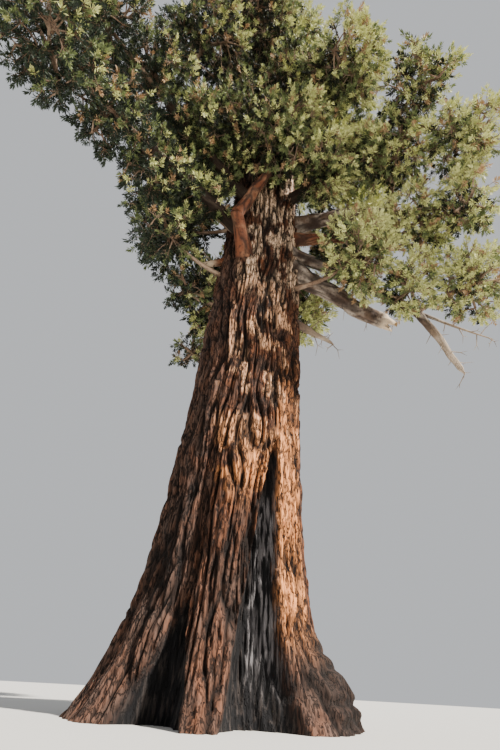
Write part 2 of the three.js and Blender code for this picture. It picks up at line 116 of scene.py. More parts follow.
def ease(low: float, high: float, value: Array) -> Array:
    """Go smoothly from 0 at low to 1 at high, whichever of the two is larger."""
    share = np.clip((value - low) / (high - low), 0, 1)
    return share * share * (3 - 2 * share)


def blend(start: Array, end: Array, share: Array) -> Array:
    """Go evenly from start to end as share goes from 0 to 1."""
    return start + (end - start) * share


def turn_between(bearing: Array, other: Array) -> Array:
    """Turn from other to bearing, from -180 to 180 degrees."""
    return (bearing - other + 540) % 360 - 180


def outward(bearing: Array) -> Array:
    """Give the level direction of each bearing, one row for each."""
    angle = np.radians(bearing)
    return np.stack((np.cos(angle), np.sin(angle), np.zeros_like(angle)), axis=-1)


def unit(vectors: Array) -> Array:
    """Scale each row to length 1."""
    return vectors / np.maximum(np.linalg.norm(vectors, axis=-1, keepdims=True), SHORTEST)


def side_frames(along: Array, roll: Array) -> tuple[Array, Array]:
    """Give two directions square to each row of along, turned round it by roll.

    Args:
        along: Directions of length 1, one a row.
        roll: Turn of each pair of side directions, in radians.

    Returns:
        The two side directions, each shaped as along is.
    """
    steep = np.abs(along[:, 2:3]) > STEEP
    reference = np.where(steep, RIGHT, UP)
    level = unit(np.cross(reference, along))
    over = np.cross(along, level)
    cos, sin = np.cos(roll)[:, None], np.sin(roll)[:, None]
    return level * cos + over * sin, over * cos - level * sin


def colour(code: str) -> Colour:
    """Turn a written colour into a linear one.

    Args:
        code: Six hexadecimal digits.

    Returns:
        Its red, green, blue and alpha, from 0 to 1.
    """
    shares = [int(code[i : i + 2], 16) / 255 for i in (0, 2, 4)]
    linear = [s / 12.92 if s <= 0.04045 else ((s + 0.055) / 1.055) ** 2.4 for s in shares]
    return (*linear, 1.0)


class LatticeNoise:
    """Smooth seeded noise from -1 to 1, which repeats after a number of cells each way."""

    def __init__(self, seed: int, across: int, up: int = 64) -> None:
        """Draw the heights at the corners of the cells.

        Args:
            seed: Seed of the draw.
            across: Cells after which the noise repeats sideways.
            up: Cells after which it repeats upwards.
        """
        self.table = np.random.default_rng(seed).uniform(-1, 1, (up, across))

    def __call__(self, across: Array, up: Array) -> Array:
        """Give the noise at each place.

        Args:
            across: How far each place is sideways, in cells.
            up: How far up it is, in cells.

        Returns:
            The noise, from -1 to 1.
        """
        column, row = np.floor(across).astype(int), np.floor(up).astype(int)
        right, top = across - column, up - row
        right, top = right * right * (3 - 2 * right), top * top * (3 - 2 * top)
        rows, columns = self.table.shape
        corner = [
            [self.table[(row + i) % rows, (column + j) % columns] for j in (0, 1)] for i in (0, 1)
        ]
        lower, upper = (blend(left, other, right) for left, other in corner)
        return blend(lower, upper, top)


@dataclass(frozen=True)
class Grain:
    """Noise round a trunk or a limb: its seed, cells round, length of a cell and reach."""

    seed: int
    cells_round: int
    length: float
    reach: float = 1.0

    def at(self, bearing: Array, along: Array, sway: Array = 0.0, limb: int = 0) -> Array:
        """Give the noise at each place.

        Args:
            bearing: Bearing of each place.
            along: Distance of each place along the trunk or the limb.
            sway: Shift round it, in cells.
            limb: Number of the limb, or 0 for the trunk.

        Returns:
            The noise, which goes as far as the reach either way.
        """
        noise = LatticeNoise(SEED + SEEDS_A_LIMB * limb + self.seed, self.cells_round)
        return self.reach * noise(self.cells_round * bearing / 360 + sway, along / self.length)


# Helpers for meshes


def tube_mesh(name: str, sides: int, rings: int) -> Mesh:
    """Make a closed upright tube of radius 1 from z = 0 to z = 1, cut into rings.

    Args:
        name: Name of the mesh.
        sides: Corners round the tube.
        rings: Bands of faces up its wall.

    Returns:
        The mesh, with a smooth wall and flat ends.
    """
    shape = bmesh.new()
    bmesh.ops.create_cone(shape, cap_ends=True, segments=sides, radius1=1, radius2=1, depth=1)
    bmesh.ops.translate(shape, vec=Vector((0, 0, 0.5)), verts=shape.verts)
    uprights = [edge for edge in shape.edges if abs(edge.verts[0].co.z - edge.verts[1].co.z) > 0.5]
    bmesh.ops.subdivide_edges(shape, edges=uprights, cuts=rings - 1, use_grid_fill=True)
    for face in shape.faces:
        face.smooth = len(face.verts) == 4
    for edge in shape.edges:
        edge.smooth = all(face.smooth for face in edge.link_faces)
    bmesh.ops.recalc_face_normals(shape, faces=shape.faces)
    mesh = bpy.data.meshes.new(name)
    shape.to_mesh(mesh)
    shape.free()
    return mesh


def corners_of(mesh: Mesh) -> Array:
    """Read a mesh's corners.

    Args:
        mesh: The mesh.

    Returns:
        The corners, one a row.
    """
    flat = np.empty(3 * len(mesh.vertices))
    mesh.vertices.foreach_get("co", flat)
    return flat.reshape(-1, 3)


def move_corners(mesh: Mesh, corners: Array) -> None:
    """Put a mesh's corners where the rows say."""
    mesh.vertices.foreach_set("co", corners.ravel())
    mesh.update()


def paint(mesh: Mesh, masks: dict[str, Array]) -> None:
    """Keep each mask on the mesh as an attribute of its corners."""
    for name, mask in masks.items():
        layer = mesh.attributes.new(name, "FLOAT", "POINT")
        layer.data.foreach_set("value", mask.astype(np.float32))


class JoinedMesh:
    """Many small four-cornered faces that become one piece."""

    def __init__(self) -> None:
        """Start with no faces."""
        self.corners: list[Array] = []
        self.faces: list[Array] = []
        self.corner_count = 0

    def add(self, corners: Array, faces: Array) -> None:
        """Add faces to the piece.

        Args:
            corners: Their corners, one a row.
            faces: The four corners of each face, counted from 0.
        """
        self.corners.append(corners)
        self.faces.append(faces + self.corner_count)
        self.corner_count += len(corners)

    def build(self, name: str) -> Mesh:
        """Make the mesh.

        Args:
            name: Its name.

        Returns:
            The mesh.
        """
        corners = np.concatenate(self.corners)
        faces = np.concatenate(self.faces)
        mesh = bpy.data.meshes.new(name)
        mesh.vertices.add(len(corners))
        mesh.vertices.foreach_set("co", corners.astype(np.float32).ravel())
        mesh.loops.add(faces.size)
        mesh.loops.foreach_set("vertex_index", faces.astype(np.int32).ravel())
        mesh.polygons.add(len(faces))
        mesh.polygons.foreach_set("loop_start", np.arange(0, faces.size, 4, dtype=np.int32))
        mesh.update(calc_edges=True)
        mesh.validate()
        return mesh


class TwigStore(JoinedMesh):
    """Three-sided tapering rods that become one piece."""

    def add_rods(self, start: Array, end: Array, foot: Array, tip: Array) -> None:
        """Add a rod from each start to each end.

        Args:
            start: Where each rod begins, one a row.
            end: Where each ends.
            foot: Radius of each at its start.
            tip: Radius of each at its end.
        """
        count = len(start)
        level, over = side_frames(unit(end - start), np.zeros(count))
        angle = np.radians((90, 210, 330))
        ring = np.cos(angle)[:, None] * level[:, None] + np.sin(angle)[:, None] * over[:, None]
        lower = start[:, None] + ring * np.broadcast_to(foot, count)[:, None, None]
        upper = end[:, None] + ring * np.broadcast_to(tip, count)[:, None, None]
        corners = np.concatenate((lower, upper), axis=1).reshape(-1, 3)
        sides = np.array(((0, 1, 4, 3), (1, 2, 5, 4), (2, 0, 3, 5)))
        self.add(corners, (sides[None] + 6 * np.arange(count)[:, None, None]).reshape(-1, 4))

    def build(self, name: str, wood: float = 0.0) -> Mesh:
        """Make the mesh, with no furrows.

        Args:
            name: Its name.
            wood: Share of bare wood, the same all over.

        Returns:
            The mesh.
        """
        mesh = super().build(name)
        count = len(mesh.vertices)
        paint(mesh, {"furrow": np.zeros(count), "wood": np.full(count, wood)})
        return mesh

    def add_path(self, points: Array, radii: Array) -> None:
        """Add rods end to end through the points, one a row, with a radius at each."""
        self.add_rods(points[:-1], points[1:], radii[:-1], radii[1:])


def add_piece(
    name: str, mesh: Mesh, material: Material, nodes: list[str]
) -> bpy.types.Object:
    """Put a mesh into the scene as a finished piece of the tree.

    Args:
        name: Name of the piece.
        mesh: Its mesh, already in place.
        material: Its finish.
        nodes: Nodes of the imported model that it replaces.

    Returns:
        The piece.
    """
    piece = bpy.data.objects.new(name, mesh)
    bpy.context.scene.collection.objects.link(piece)
    mesh.materials.clear()
    mesh.materials.append(material)
    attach(piece, "root")
    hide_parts(*nodes)
    LOG.info("%s: %d faces", name, len(mesh.polygons))
    return piece


# Helpers for finishes


class Value:
    """A number in a finish that changes over the surface. Operators on it add Math nodes."""

    def __init__(self, finish: "Finish", socket: Socket) -> None:
        """Wrap a socket of the finish's nodes."""
        self.finish = finish
        self.socket = socket

    def _math(self, operation: str, left: "Number", right: "Number") -> "Value":
        """Add one Math node and give its result."""
        node = self.finish.node("ShaderNodeMath", {"operation": operation}, {0: left, 1: right})
        return Value(self.finish, node.outputs[0])

    def __add__(self, other: "Number") -> "Value":
        """Add other."""
        return self._math("ADD", self, other)

    def __radd__(self, other: "Number") -> "Value":
        """Add to other."""
        return self._math("ADD", other, self)

    def __sub__(self, other: "Number") -> "Value":
        """Take other away."""
        return self._math("SUBTRACT", self, other)

    def __rsub__(self, other: "Number") -> "Value":
        """Take away from other."""
        return self._math("SUBTRACT", other, self)

    def __mul__(self, other: "Number") -> "Value":
        """Multiply by other."""
        return self._math("MULTIPLY", self, other)

    def __rmul__(self, other: "Number") -> "Value":
        """Multiply other by this."""
        return self._math("MULTIPLY", other, self)


Number = Value | float


class Finish:
    """The nodes of one material."""

    def __init__(self, name: str) -> None:
        """Start a material with one Principled shader.

        Args:
            name: Its name.
        """
        self.material = bpy.data.materials.new(name)
        self.material.use_nodes = True
        self.nodes = self.material.node_tree.nodes
        self.links = self.material.node_tree.links
        self.shader = self.nodes["Principled BSDF"]

    def node(self, kind: str, settings: dict, inputs: dict) -> bpy.types.Node:
        """Add a node.

        Args:
            kind: Type of the node.
            settings: Its settings, set first; stops are those of a ramp.
            inputs: Value or link of each socket, by name or number.

        Returns:
            The node.
        """
        node = self.nodes.new(kind)
        for key, setting in settings.items():
            if key == "stops":
                self._set_stops(node.color_ramp, setting)
            else:
                setattr(node, key, setting)
        for key, value in inputs.items():
            self.feed(node.inputs[key], value)
        return node

    @staticmethod
    def _set_stops(ramp: bpy.types.ColorRamp, stops: list[tuple[float, Colour]]) -> None:
        """Give a ramp its stops, each a place and a colour."""
        while len(ramp.elements) < len(stops):
            ramp.elements.new(1.0)
        for element, (place, shade) in zip(ramp.elements, stops):
            element.position = place
            element.color = shade

    def feed(self, socket: Socket, value: object) -> None:
        """Link a socket to a value or another socket, or set it to a constant."""
        if isinstance(value, Value):
            value = value.socket
        if isinstance(value, Socket):
            self.links.new(value, socket)
        else:
            socket.default_value = value

    def mask(self, name: str) -> Value:
        """Read a mask that the piece carries as an attribute."""
        node = self.node("ShaderNodeAttribute", {"attribute_name": name}, {})
        return Value(self, node.outputs["Fac"])

    def noise(self, scale: float, stretch: Three, detail: float = 3) -> Value:
        """Add noise from 0 to 1 over the piece's own coordinates.

        Args:
            scale: Cells a metre.
            stretch: How the coordinates are scaled first, along each axis.
            detail: Finer layers of noise.

        Returns:
            The noise.
        """
        place = self.node("ShaderNodeTexCoord", {}, {}).outputs["Object"]
        mapped = self.node("ShaderNodeMapping", {}, {"Vector": place, "Scale": stretch})
        inputs = {"Vector": mapped.outputs[0], "Scale": scale, "Detail": detail}
        return Value(self, self.node("ShaderNodeTexNoise", {}, inputs).outputs["Fac"])

    def step(self, value: Value, low: float, high: float) -> Value:
        """Go smoothly from 0 to 1.

        Args:
            value: The value.
            low: Value at which the step begins.
            high: Value at which it ends.

        Returns:
            The step.
        """
        settings = {"interpolation_type": "SMOOTHSTEP"}
        inputs = {"Value": value, "From Min": low, "From Max": high}
        return Value(self, self.node("ShaderNodeMapRange", settings, inputs).outputs["Result"])

    def mixed(self, share: Number, start: object, end: object) -> Socket:
        """Mix two colours: start where share is 0, end where it is 1."""
        node = self.node("ShaderNodeMix", {"data_type": "RGBA"}, {0: share, 6: start, 7: end})
        return node.outputs[2]

    def surface(self, shade: object, roughness: Number, specular: float) -> Material:
        """Give the shader its colour, roughness and shine.

        Args:
            shade: Its base colour.
            roughness: Its roughness.
            specular: Level of its shine.

        Returns:
            The material.
        """
        inputs = {"Base Color": shade, "Roughness": roughness, "Specular IOR Level": specular}
        for name, value in inputs.items():
            self.feed(self.shader.inputs[name], value)
        return self.material

    def bump(self, height: Value, distance: float, strength: float) -> None:
        """Tilt the surface as the height, times the distance in metres, would."""
        inputs = {"Height": height, "Distance": distance, "Strength": strength}
        self.feed(self.shader.inputs["Normal"], self.node("ShaderNodeBump", {}, inputs).outputs[0])


@dataclass(frozen=True)
class TrunkFinish:
    """Fibrous bark of the trunk, with its burnt parts, painted sunlight in its tan and cream parts, painted
    shade in its near-black furrows, and grey parts that are partly painted shade.
    """

    name: str = "trunk_bark"
    ridge: Colour = colour("583d30")
    # Near black: painted shade in the furrows, the hollows of the fibre, the creases and over the burl, on
    # top of the bark's own darker furrows.
    furrow: Colour = colour("0d0705")
    cinnamon: Colour = colour("78492f")
    # Orange tan: painted sunlight on the strip beside the fire scar and in the sun patches.
    tan: Colour = colour("e3965c")
    # Grey-brown: partly painted shade on the side turned away from the sun and on the burl.
    grey: Colour = colour("594a43")
    # Cream: painted sunlight high on the front and in the upper sun patches, partly the paler bark up there.
    cream: Colour = colour("f3cfae")
    char: Colour = colour("100f11")
    ash: Colour = colour("3c3532")
    dead_wood: Colour = colour("777375")

    def material(self) -> Material:
        """Make the material."""
        finish = Finish(self.name)
        fibre = finish.noise(5.0, (3.0, 3.0, 0.7), 7)
        flecks = finish.noise(3.4, (1.0, 1.0, 0.5), 5)
        strips = finish.noise(4.2, (3.0, 3.0, 0.32), 6)
        grain = finish.noise(9.0, (1.0, 1.0, 0.24), 3)
        crease = finish.step((grain - 0.5) * (grain - 0.5), 0.0016, 0.0002)
        shade = finish.mixed(finish.step(flecks, 0.36, 0.66), self.ridge, self.cinnamon)
        # Partly painted shade: greyer on the side away from the sun and on the burl.
        shade = finish.mixed(finish.mask("grey") * 0.8, shade, self.grey)
        # Painted sunlight: tan on the strip beside the fire scar and in the sun patches.
        shade = finish.mixed(finish.mask("tan") * finish.step(fibre, 0.26, 0.5), shade, self.tan)
        # Painted sunlight: cream high on the front and in the upper sun patches.
        shade = finish.mixed(finish.mask("cream") * finish.step(fibre, 0.3, 0.52), shade, self.cream)
        # Painted shade: the hollows of the fibre, the creases and the furrows turn near black.
        shade = finish.mixed(finish.step(fibre, 0.5, 0.36) * 0.8, shade, self.furrow)
        shade = finish.mixed(crease * 0.75, shade, self.furrow)
        shade = finish.mixed(finish.mask("furrow") * 0.95, shade, self.furrow)
        burnt = finish.mixed(finish.step(strips, 0.48, 0.66) * 0.75, self.char, self.ash)
        shade = finish.mixed(finish.mask("char"), shade, burnt)
        shade = finish.mixed(finish.mask("wood") * finish.step(strips, 0.42, 0.62), shade, self.dead_wood)
        finish.bump(fibre + 0.6 * flecks - 0.9 * crease, 0.06, 0.9)
        return finish.surface(shade, 0.98 - 0.16 * fibre, 0.25)


@dataclass(frozen=True)
class LimbFinish:
    """Bark of the limbs, weathered in patches, with pale wood where a limb is broken."""

    name: str
    bark: Colour
    weathered: Colour
    furrow: Colour = colour("2b211d")
    wood: Colour = colour("c9b49a")

    def material(self) -> Material:
        """Make the material."""
        finish = Finish(self.name)
        fibre = finish.noise(11.0, (1.0, 1.0, 1.0), 5)
        patches = finish.noise(1.5, (1.0, 1.0, 1.0), 3)
        shade = finish.mixed(finish.step(patches, 0.42, 0.62), self.bark, self.weathered)
        shade = finish.mixed(finish.step(fibre, 0.5, 0.3) * 0.6, shade, self.furrow)
        shade = finish.mixed(finish.mask("furrow") * 0.85, shade, self.furrow)
        shade = finish.mixed(finish.mask("wood"), shade, self.wood)
        finish.bump(fibre, 0.04, 0.8)
        return finish.surface(shade, 0.96 - 0.16 * fibre, 0.25)


@dataclass(frozen=True)
class NeedleFinish:
    """One plain colour of the sprays, a little uneven."""

    name: str
    shade: Colour
    deeper: Colour

    def material(self) -> Material:
        """Make the material."""
        finish = Finish(self.name)
        uneven = finish.noise(6.0, (1.0, 1.0, 1.0), 2)
        mixed = finish.mixed(finish.step(uneven, 0.35, 0.65), self.shade, self.deeper)
        return finish.surface(mixed, 0.62, 0.35)


# The trunk


@dataclass(frozen=True)
class Buttress:
    """A rib of the foot, which fades as it rises."""

    bearing: float
    half_width: float
    out: float
    fade: float


@dataclass(frozen=True)
class Fold:
    """A wave round the bole: how many go round, how far they stand out and how they twist."""

    count: int
    out: float
    degrees_a_metre: float


@dataclass(frozen=True)
class Swelling:
    """A burl that stands out of the trunk, or a crease where out is below zero."""

    bearing: float
    half_width: float
    height: float
    half_height: float
    out: float


@dataclass(frozen=True)
class Scar:
    """A hollow burnt into the foot, which runs up from the ground and closes to a point."""

    bearing_foot: float
    bearing_top: float
    half_width: float
    narrowing: float
    height: float
    depth_foot: float
    depth_top: float
    back_width: float = 0.4
    least_width: float = 0.6
    lip_share: float = 0.35
    lip_edge: Two = (1.0, 0.9)
    char_edge: Two = (1.06, 0.9)
    hollow_end: float = 0.97
    char_end: float = 0.94

    def across(self, bearing: Array, height: Array, ragged: Array) -> Array:
        """Tell how far each place is from the scar's middle line, where 1 is its edge.

        Args:
            bearing: Bearing of each place.
            height: Height of each place.
            ragged: Share by which the edge strays there.

        Returns:
            The distance, negative towards lower bearings.
        """
        share = np.clip(height / self.height, 0, 1)
        spread = np.maximum(self.least_width, self.half_width * (1 - share) ** self.narrowing)
        middle = blend(self.bearing_foot, self.bearing_top, share)
        return turn_between(bearing, middle) / (spread * (1 + ragged))

    def depth(self, across: Array, height: Array) -> Array:
        """Tell how deep the scar is: a sharp lip first, then a slanting wall.

        Args:
            across: How far each place is from the middle line, where 1 is the edge.
            height: Height of each place.

        Returns:
            The depth at each place.
        """
        aside = np.abs(across)
        lip = ease(*self.lip_edge, aside)
        wall = np.clip((1 - aside) / (1 - self.back_width), 0, 1)
        full = blend(self.depth_foot, self.depth_top, np.clip(height / self.height, 0, 1))
        shape = self.lip_share * lip + (1 - self.lip_share) * wall
        return full * shape * ease(self.height, self.hollow_end * self.height, height)

    def char(self, across: Array, height: Array) -> Array:
        """Tell how much each place is burnt."""
        below_point = ease(self.height, self.char_end * self.height, height)
        return ease(*self.char_edge, np.abs(across)) * below_point


@dataclass(frozen=True)
class Zone:
    """A part of the bark with soft edges.

    Each range says where the zone begins, is full, is full for the last time and has ended: in
    bearing, or across a scar in its half widths, and in height. Smear says at which values of
    the uneven edge it begins and is full.
    """

    around: Four
    heights: Four = (-2, -1, 99, 100)
    smear: Two = (-9, -8)
    strength: float = 1.0

    def share(self, around: Array, height: Array, smear: Array = 0.0) -> Array:
        """Tell how much each place belongs to the zone.

        Args:
            around: Bearing of each place, or how far across a scar it is.
            height: Height of each place.
            smear: Value of the uneven edge there.

        Returns:
            The share, from 0 to the zone's strength.
        """
        share = self.strength * ease(*self.smear, smear)
        for value, (start, full, last, end) in ((around, self.around), (height, self.heights)):
            share = share * ease(start, full, value) * ease(end, last, value)
        return share


@dataclass
class Trunk:
    """The leaning bole on its flared foot, with its bark and scars.

    Where two numbers stand together, something begins at the first and is full at the second.
    """

    top: float = 37.6
    taper_end: float = 37.9
    taper_power: float = 0.6
    bole_radius: float = 2.0
    flare_out: float = 1.06
    flare_height: float = 1.56
    lean_right: float = 1.44
    lean_forward: float = 3.52
    lean_height: float = 25.0
    bole_start: float = 6.5
    crown_start: float = 18.5
    sides: int = 720
    crown_sides: int = 360
    foot_rings: int = 112
    bole_rings: int = 134
    crown_rings: int = 70
    sway: Grain = Grain(0, 20, 1.5, 1.4)
    ridges: Grain = Grain(1, 92, 1.3)
    cords: Grain = Grain(2, 184, 0.55)
    foot_ridges: Grain = Grain(12, 136, 1.3)
    foot_cords: Grain = Grain(13, 272, 0.55)
    strands: Grain = Grain(3, 276, 0.33)
    lumps: Grain = Grain(4, 22, 1.4, 0.03)
    knobs: Grain = Grain(10, 56, 0.32)
    ragged: Grain = Grain(5, 60, 0.8, 0.09)
    frayed: Grain = Grain(6, 120, 0.2, 0.04)
    cracks: Grain = Grain(7, 240, 0.5, 0.07)
    patches: Grain = Grain(8, 30, 0.55, 0.55)
    broad: Grain = Grain(9, 18, 1.9, 0.5)
    specks: Grain = Grain(12, 120, 0.2, 0.3)
    foot_bark: Two = (4.5, 2.0)
    furrow_width: float = 0.28
    groove_width: float = 0.22
    furrow_dark: float = 0.95
    groove_share: float = 0.5
    bark_level: float = 0.3
    ridge_depth: float = 0.12
    strand_depth: float = 0.034
    knob_height: float = 0.17
    knob_strand_depth: float = 0.02
    # Painted shade over the burl: its least share of the near-black furrow colour.
    burl_shade: float = 0.84
    knob_edge: Two = (0.4, 0.08)
    burl_edge: Two = (1.5, 0.8)
    burl_height: float = 1.3
    ridge_sway: float = 1.1
    cord_sway: float = 1.8
    knob_sway: float = 2.0
    char_calm: float = 0.75
    # Painted sunlight: how far the sun patches turn the bark tan, and cream higher up.
    sun_patch_tan: float = 0.9
    sun_patch_cream: float = 0.5
    cream_rise: Two = (5, 8)
    grey_share: float = 0.8
    grey_smear: float = 0.4
    folds: tuple[Fold, ...] = (Fold(11, 0.05, 1.6), Fold(7, 0.035, -0.9))
    fold_fade: float = 26.0
    buttresses: tuple[Buttress, ...] = (
        Buttress(198, 20, 0.17, 1.5),
        Buttress(222, 9, 0.18, 3.2),
        Buttress(271, 13, 0.30, 2.3),
        Buttress(318, 10, 0.20, 1.2),
        Buttress(22, 15, 0.33, 1.9),
        Buttress(66, 14, 0.26, 2.6),
        Buttress(112, 16, 0.40, 1.7),
        Buttress(158, 14, 0.30, 2.2),
    )
    swellings: tuple[Swelling, ...] = (
        Swelling(344, 22, 0.56, 0.85, 0.56),
        Swelling(274, 9, 2.85, 0.52, 0.13),
        Swelling(92, 18, 0.90, 0.70, 0.26),
        Swelling(248, 7, 3.6, 2.6, -0.26),
        Swelling(185, 7, 2.6, 2.2, -0.16),
        Swelling(45, 7, 2.8, 2.6, -0.22),
        Swelling(135, 7, 2.4, 2.4, -0.20),
    )
    fire_scar: Scar = Scar(292, 303, 17, 0.65, 6.2, 0.95, 0.35)
    low_scar: Scar = Scar(248, 249, 17, 0.8, 2.3, 0.80, 0.25)
    bare_wood: Zone = Zone((-0.15, 0.1, 0.85, 1.0), (0.2, 1.6, 4.3, 4.9))
    # Painted sunlight on the strip right of the fire scar.
    painted_sun_strip: Zone = Zone((299, 305, 328, 345), (0.9, 2.4, 6.0, 9.5), (-0.75, -0.25))
    # Painted sunlight: patches of sun on the front of the bole.
    painted_sun_patches: Zone = Zone((238, 262, 320, 345), (3.8, 5.6, 12, 15), (0.05, 0.16))
    # Painted sunlight high on the front, partly paler bark.
    pale_sunlit_front: Zone = Zone((236, 258, 335, 355), (10.5, 13, 99, 100), (-0.25, 0.05))
    # The first two zones grey the side turned away from the sun: painted shade, partly weathered bark. The
    # third greys the burl and the foot beside it: painted shade. The last greys the foot between the scars.
    grey_zones: tuple[Zone, ...] = (
        Zone((150, 190, 236, 262), strength=0.75),
        Zone((30, 70, 130, 170), strength=0.5),
        Zone((302, 318, 360, 361), (-2, -1, 1.3, 2.1)),
        Zone((250, 262, 280, 292), (-2, -1, 2.0, 4.5), strength=0.5),
    )

    def axis(self, height: Array) -> Array:
        """Give the trunk's middle at each height, one row for each."""
        share = 1 - np.exp(-height / self.lean_height)
        return np.stack((self.lean_right * share, -self.lean_forward * share, height), axis=-1)

    def radius(self, bearing: Array, height: Array) -> Array:
        """Measure from the axis to the smooth bark.

        Args:
            bearing: Bearing of each place.
            height: Height of each place.

        Returns:
            The distance at each place.
        """
        radius = self.bole_radius * np.maximum(0, 1 - height / self.taper_end) ** self.taper_power
        radius = radius + self.flare_out * np.exp(-height / self.flare_height)
        for fold in self.folds:
            turn = np.radians(fold.count * (bearing - fold.degrees_a_metre * height))
            radius += fold.out * np.exp(-height / self.fold_fade) * np.cos(turn)
        for rib in self.buttresses:
            spread = bell(turn_between(bearing, rib.bearing), rib.half_width)
            radius += rib.out * np.exp(-height / rib.fade) * spread
        for bump in self.swellings:
            spread = bell(turn_between(bearing, bump.bearing), bump.half_width)
            radius += bump.out * spread * bell(height - bump.height, bump.half_height)
        return radius

    def point(self, bearing: Array, height: Array, beyond: Array = 0.0) -> Array:
        """Give the place on the bark at each bearing and height, moved out by beyond."""
        reach = self.radius(bearing, height) + beyond
        return self.axis(height) + outward(bearing) * np.asarray(reach)[..., None]

    def clear_of(self, points: Array, margin: float) -> Array:
        """Tell which points are outside the trunk.

        Args:
            points: The points, one a row.
            margin: Least gap to the trunk.

        Returns:
            True or false for each point.
        """
        height = np.clip(points[:, 2], 0, self.top)
        aside = points - self.axis(height)
        bearing = np.degrees(np.arctan2(aside[:, 1], aside[:, 0]))
        distance = np.hypot(aside[:, 0], aside[:, 1])
        above = points[:, 2] > self.top + margin
        return above | (distance > self.radius(bearing, height) + margin)

    def _relief(self, bearing: Array, height: Array) -> tuple[Array, Array]:
        """Work out the ridges and furrows of the bark.

        Args:
            bearing: Bearing of each place.
            height: Height of each place.

        Returns:
            How far the bark stands out there, and how much of a furrow the place is, which over the burl is
            painted shade.
        """
        sway = self.sway.at(bearing, height)
        at_foot = ease(*self.foot_bark, height)
        ridge, foot_ridge = (
            grain.at(bearing, height, self.ridge_sway * sway) for grain in (self.ridges, self.foot_ridges)
        )
        cord, foot_cord = (
            grain.at(bearing, height, self.cord_sway * sway) for grain in (self.cords, self.foot_cords)
        )
        strands = self.strands.at(bearing, height, sway)
        knobs = np.abs(self.knobs.at(bearing, height, self.knob_sway * sway))
        deep = bell(blend(ridge, foot_ridge, at_foot), self.furrow_width)
        shallow = self.groove_share * bell(blend(cord, foot_cord, at_foot), self.groove_width)
        plain = self.ridge_depth * (self.bark_level - deep - shallow) + self.strand_depth * strands
        knobbed = self.knob_height * (knobs - self.bark_level) + self.knob_strand_depth * strands
        gnarled = self._gnarled(bearing, height)
        out = blend(plain + self.lumps.at(bearing, height), knobbed, gnarled)
        dark = np.clip(self.furrow_dark * deep + shallow, 0, 1)
        # Over the burl the furrow mask stays high, a little lower on the knob tops: painted shade.
        return out, blend(dark, blend(self.burl_shade, 1, ease(*self.knob_edge, knobs)), gnarled)

    def _gnarled(self, bearing: Array, height: Array) -> Array:
        """Tell how much the bark is knobbed, as on the great burl.

        Args:
            bearing: Bearing of each place.
            height: Height of each place.

        Returns:
            The share at each place, from 0 to 1.
        """
        burl = self.swellings[0]
        aside = turn_between(bearing, burl.bearing) / burl.half_width
        above = (height - burl.height) / (self.burl_height * burl.half_height)
        return ease(*self.burl_edge, np.hypot(aside, above))

    def _dress(self, mesh: Mesh, foot: float, head: float) -> None:
        """Wrap a tube round the trunk between two heights, with its bark and scars.

        Args:
            mesh: A tube of radius 1 and height 1.
            foot: Height of its lower end.
            head: Height of its upper end.
        """
        corners = corners_of(mesh)
        bearing = np.degrees(np.arctan2(corners[:, 1], corners[:, 0])) % 360
        height = blend(foot, head, corners[:, 2])
        relief, furrow = self._relief(bearing, height)
        ragged = self.ragged.at(bearing, height)
        fine = self.frayed.at(bearing, height)
        hollow, char = np.zeros_like(height), np.zeros_like(height)
        for scar in (self.fire_scar, self.low_scar):
            across = scar.across(bearing, height, ragged + fine)
            hollow += scar.depth(across, height)
            char = np.maximum(char, scar.char(across, height))
        across = self.fire_scar.across(bearing, height, ragged)
        cracks = self.cracks.at(bearing, height)
        reach = relief * (1 - self.char_calm * char) - hollow + cracks * char
        # The furrow mask carries painted shade: near black in the furrows and over the burl.
        masks = {"char": char, "wood": self.bare_wood.share(across, height), "furrow": furrow * (1 - char)}
        masks.update(self._tones(bearing, height))
        move_corners(mesh, self.point(bearing, height, reach))
        paint(mesh, masks)

    def _tones(self, bearing: Array, height: Array) -> dict[str, Array]:
        """Share out the painted sunlight in tan and cream and the greyer bark, partly painted shade, with
        uneven edges.

        Args:
            bearing: Bearing of each place.
            height: Height of each place.

        Returns:
            The masks by name.
        """
        smear = self.patches.at(bearing, height, height / 3) + self.broad.at(bearing, height)
        smear += self.specks.at(bearing, height)
        strip, sun_patch, pale = (
            zone.share(bearing, height, smear) for zone in (self.painted_sun_strip, self.painted_sun_patches, self.pale_sunlit_front)
        )
        grey = sum(zone.share(bearing, height) for zone in self.grey_zones)
        # Tan is painted sunlight on the strip and in the sun patches. Cream is painted sunlight high on the
        # front and in the upper sun patches, partly the paler bark up there. Grey is partly painted shade.
        return {
            "tan": np.clip(strip + self.sun_patch_tan * sun_patch, 0, 1),
            "grey": np.clip(grey * (self.grey_share + self.grey_smear * smear), 0, 1),
            "cream": np.maximum(pale, self.sun_patch_cream * sun_patch * ease(*self.cream_rise, height)),
        }

    def build(self) -> None:
        """Make the bark of the foot, of the bare bole and of what the crown hides."""
        finish = TrunkFinish().material()
        parts = (
            ("trunk_foot", 0.0, self.bole_start, self.sides, self.foot_rings),
            ("trunk_bole", self.bole_start, self.crown_start, self.sides, self.bole_rings),
            ("trunk_in_crown", self.crown_start, self.top, self.crown_sides, self.crown_rings),
        )
        for name, foot, head, sides, rings in parts:
            mesh = tube_mesh(name, sides, rings)
            self._dress(mesh, foot, head)
            add_piece(name, mesh, finish, ["trunk"])


# The limbs


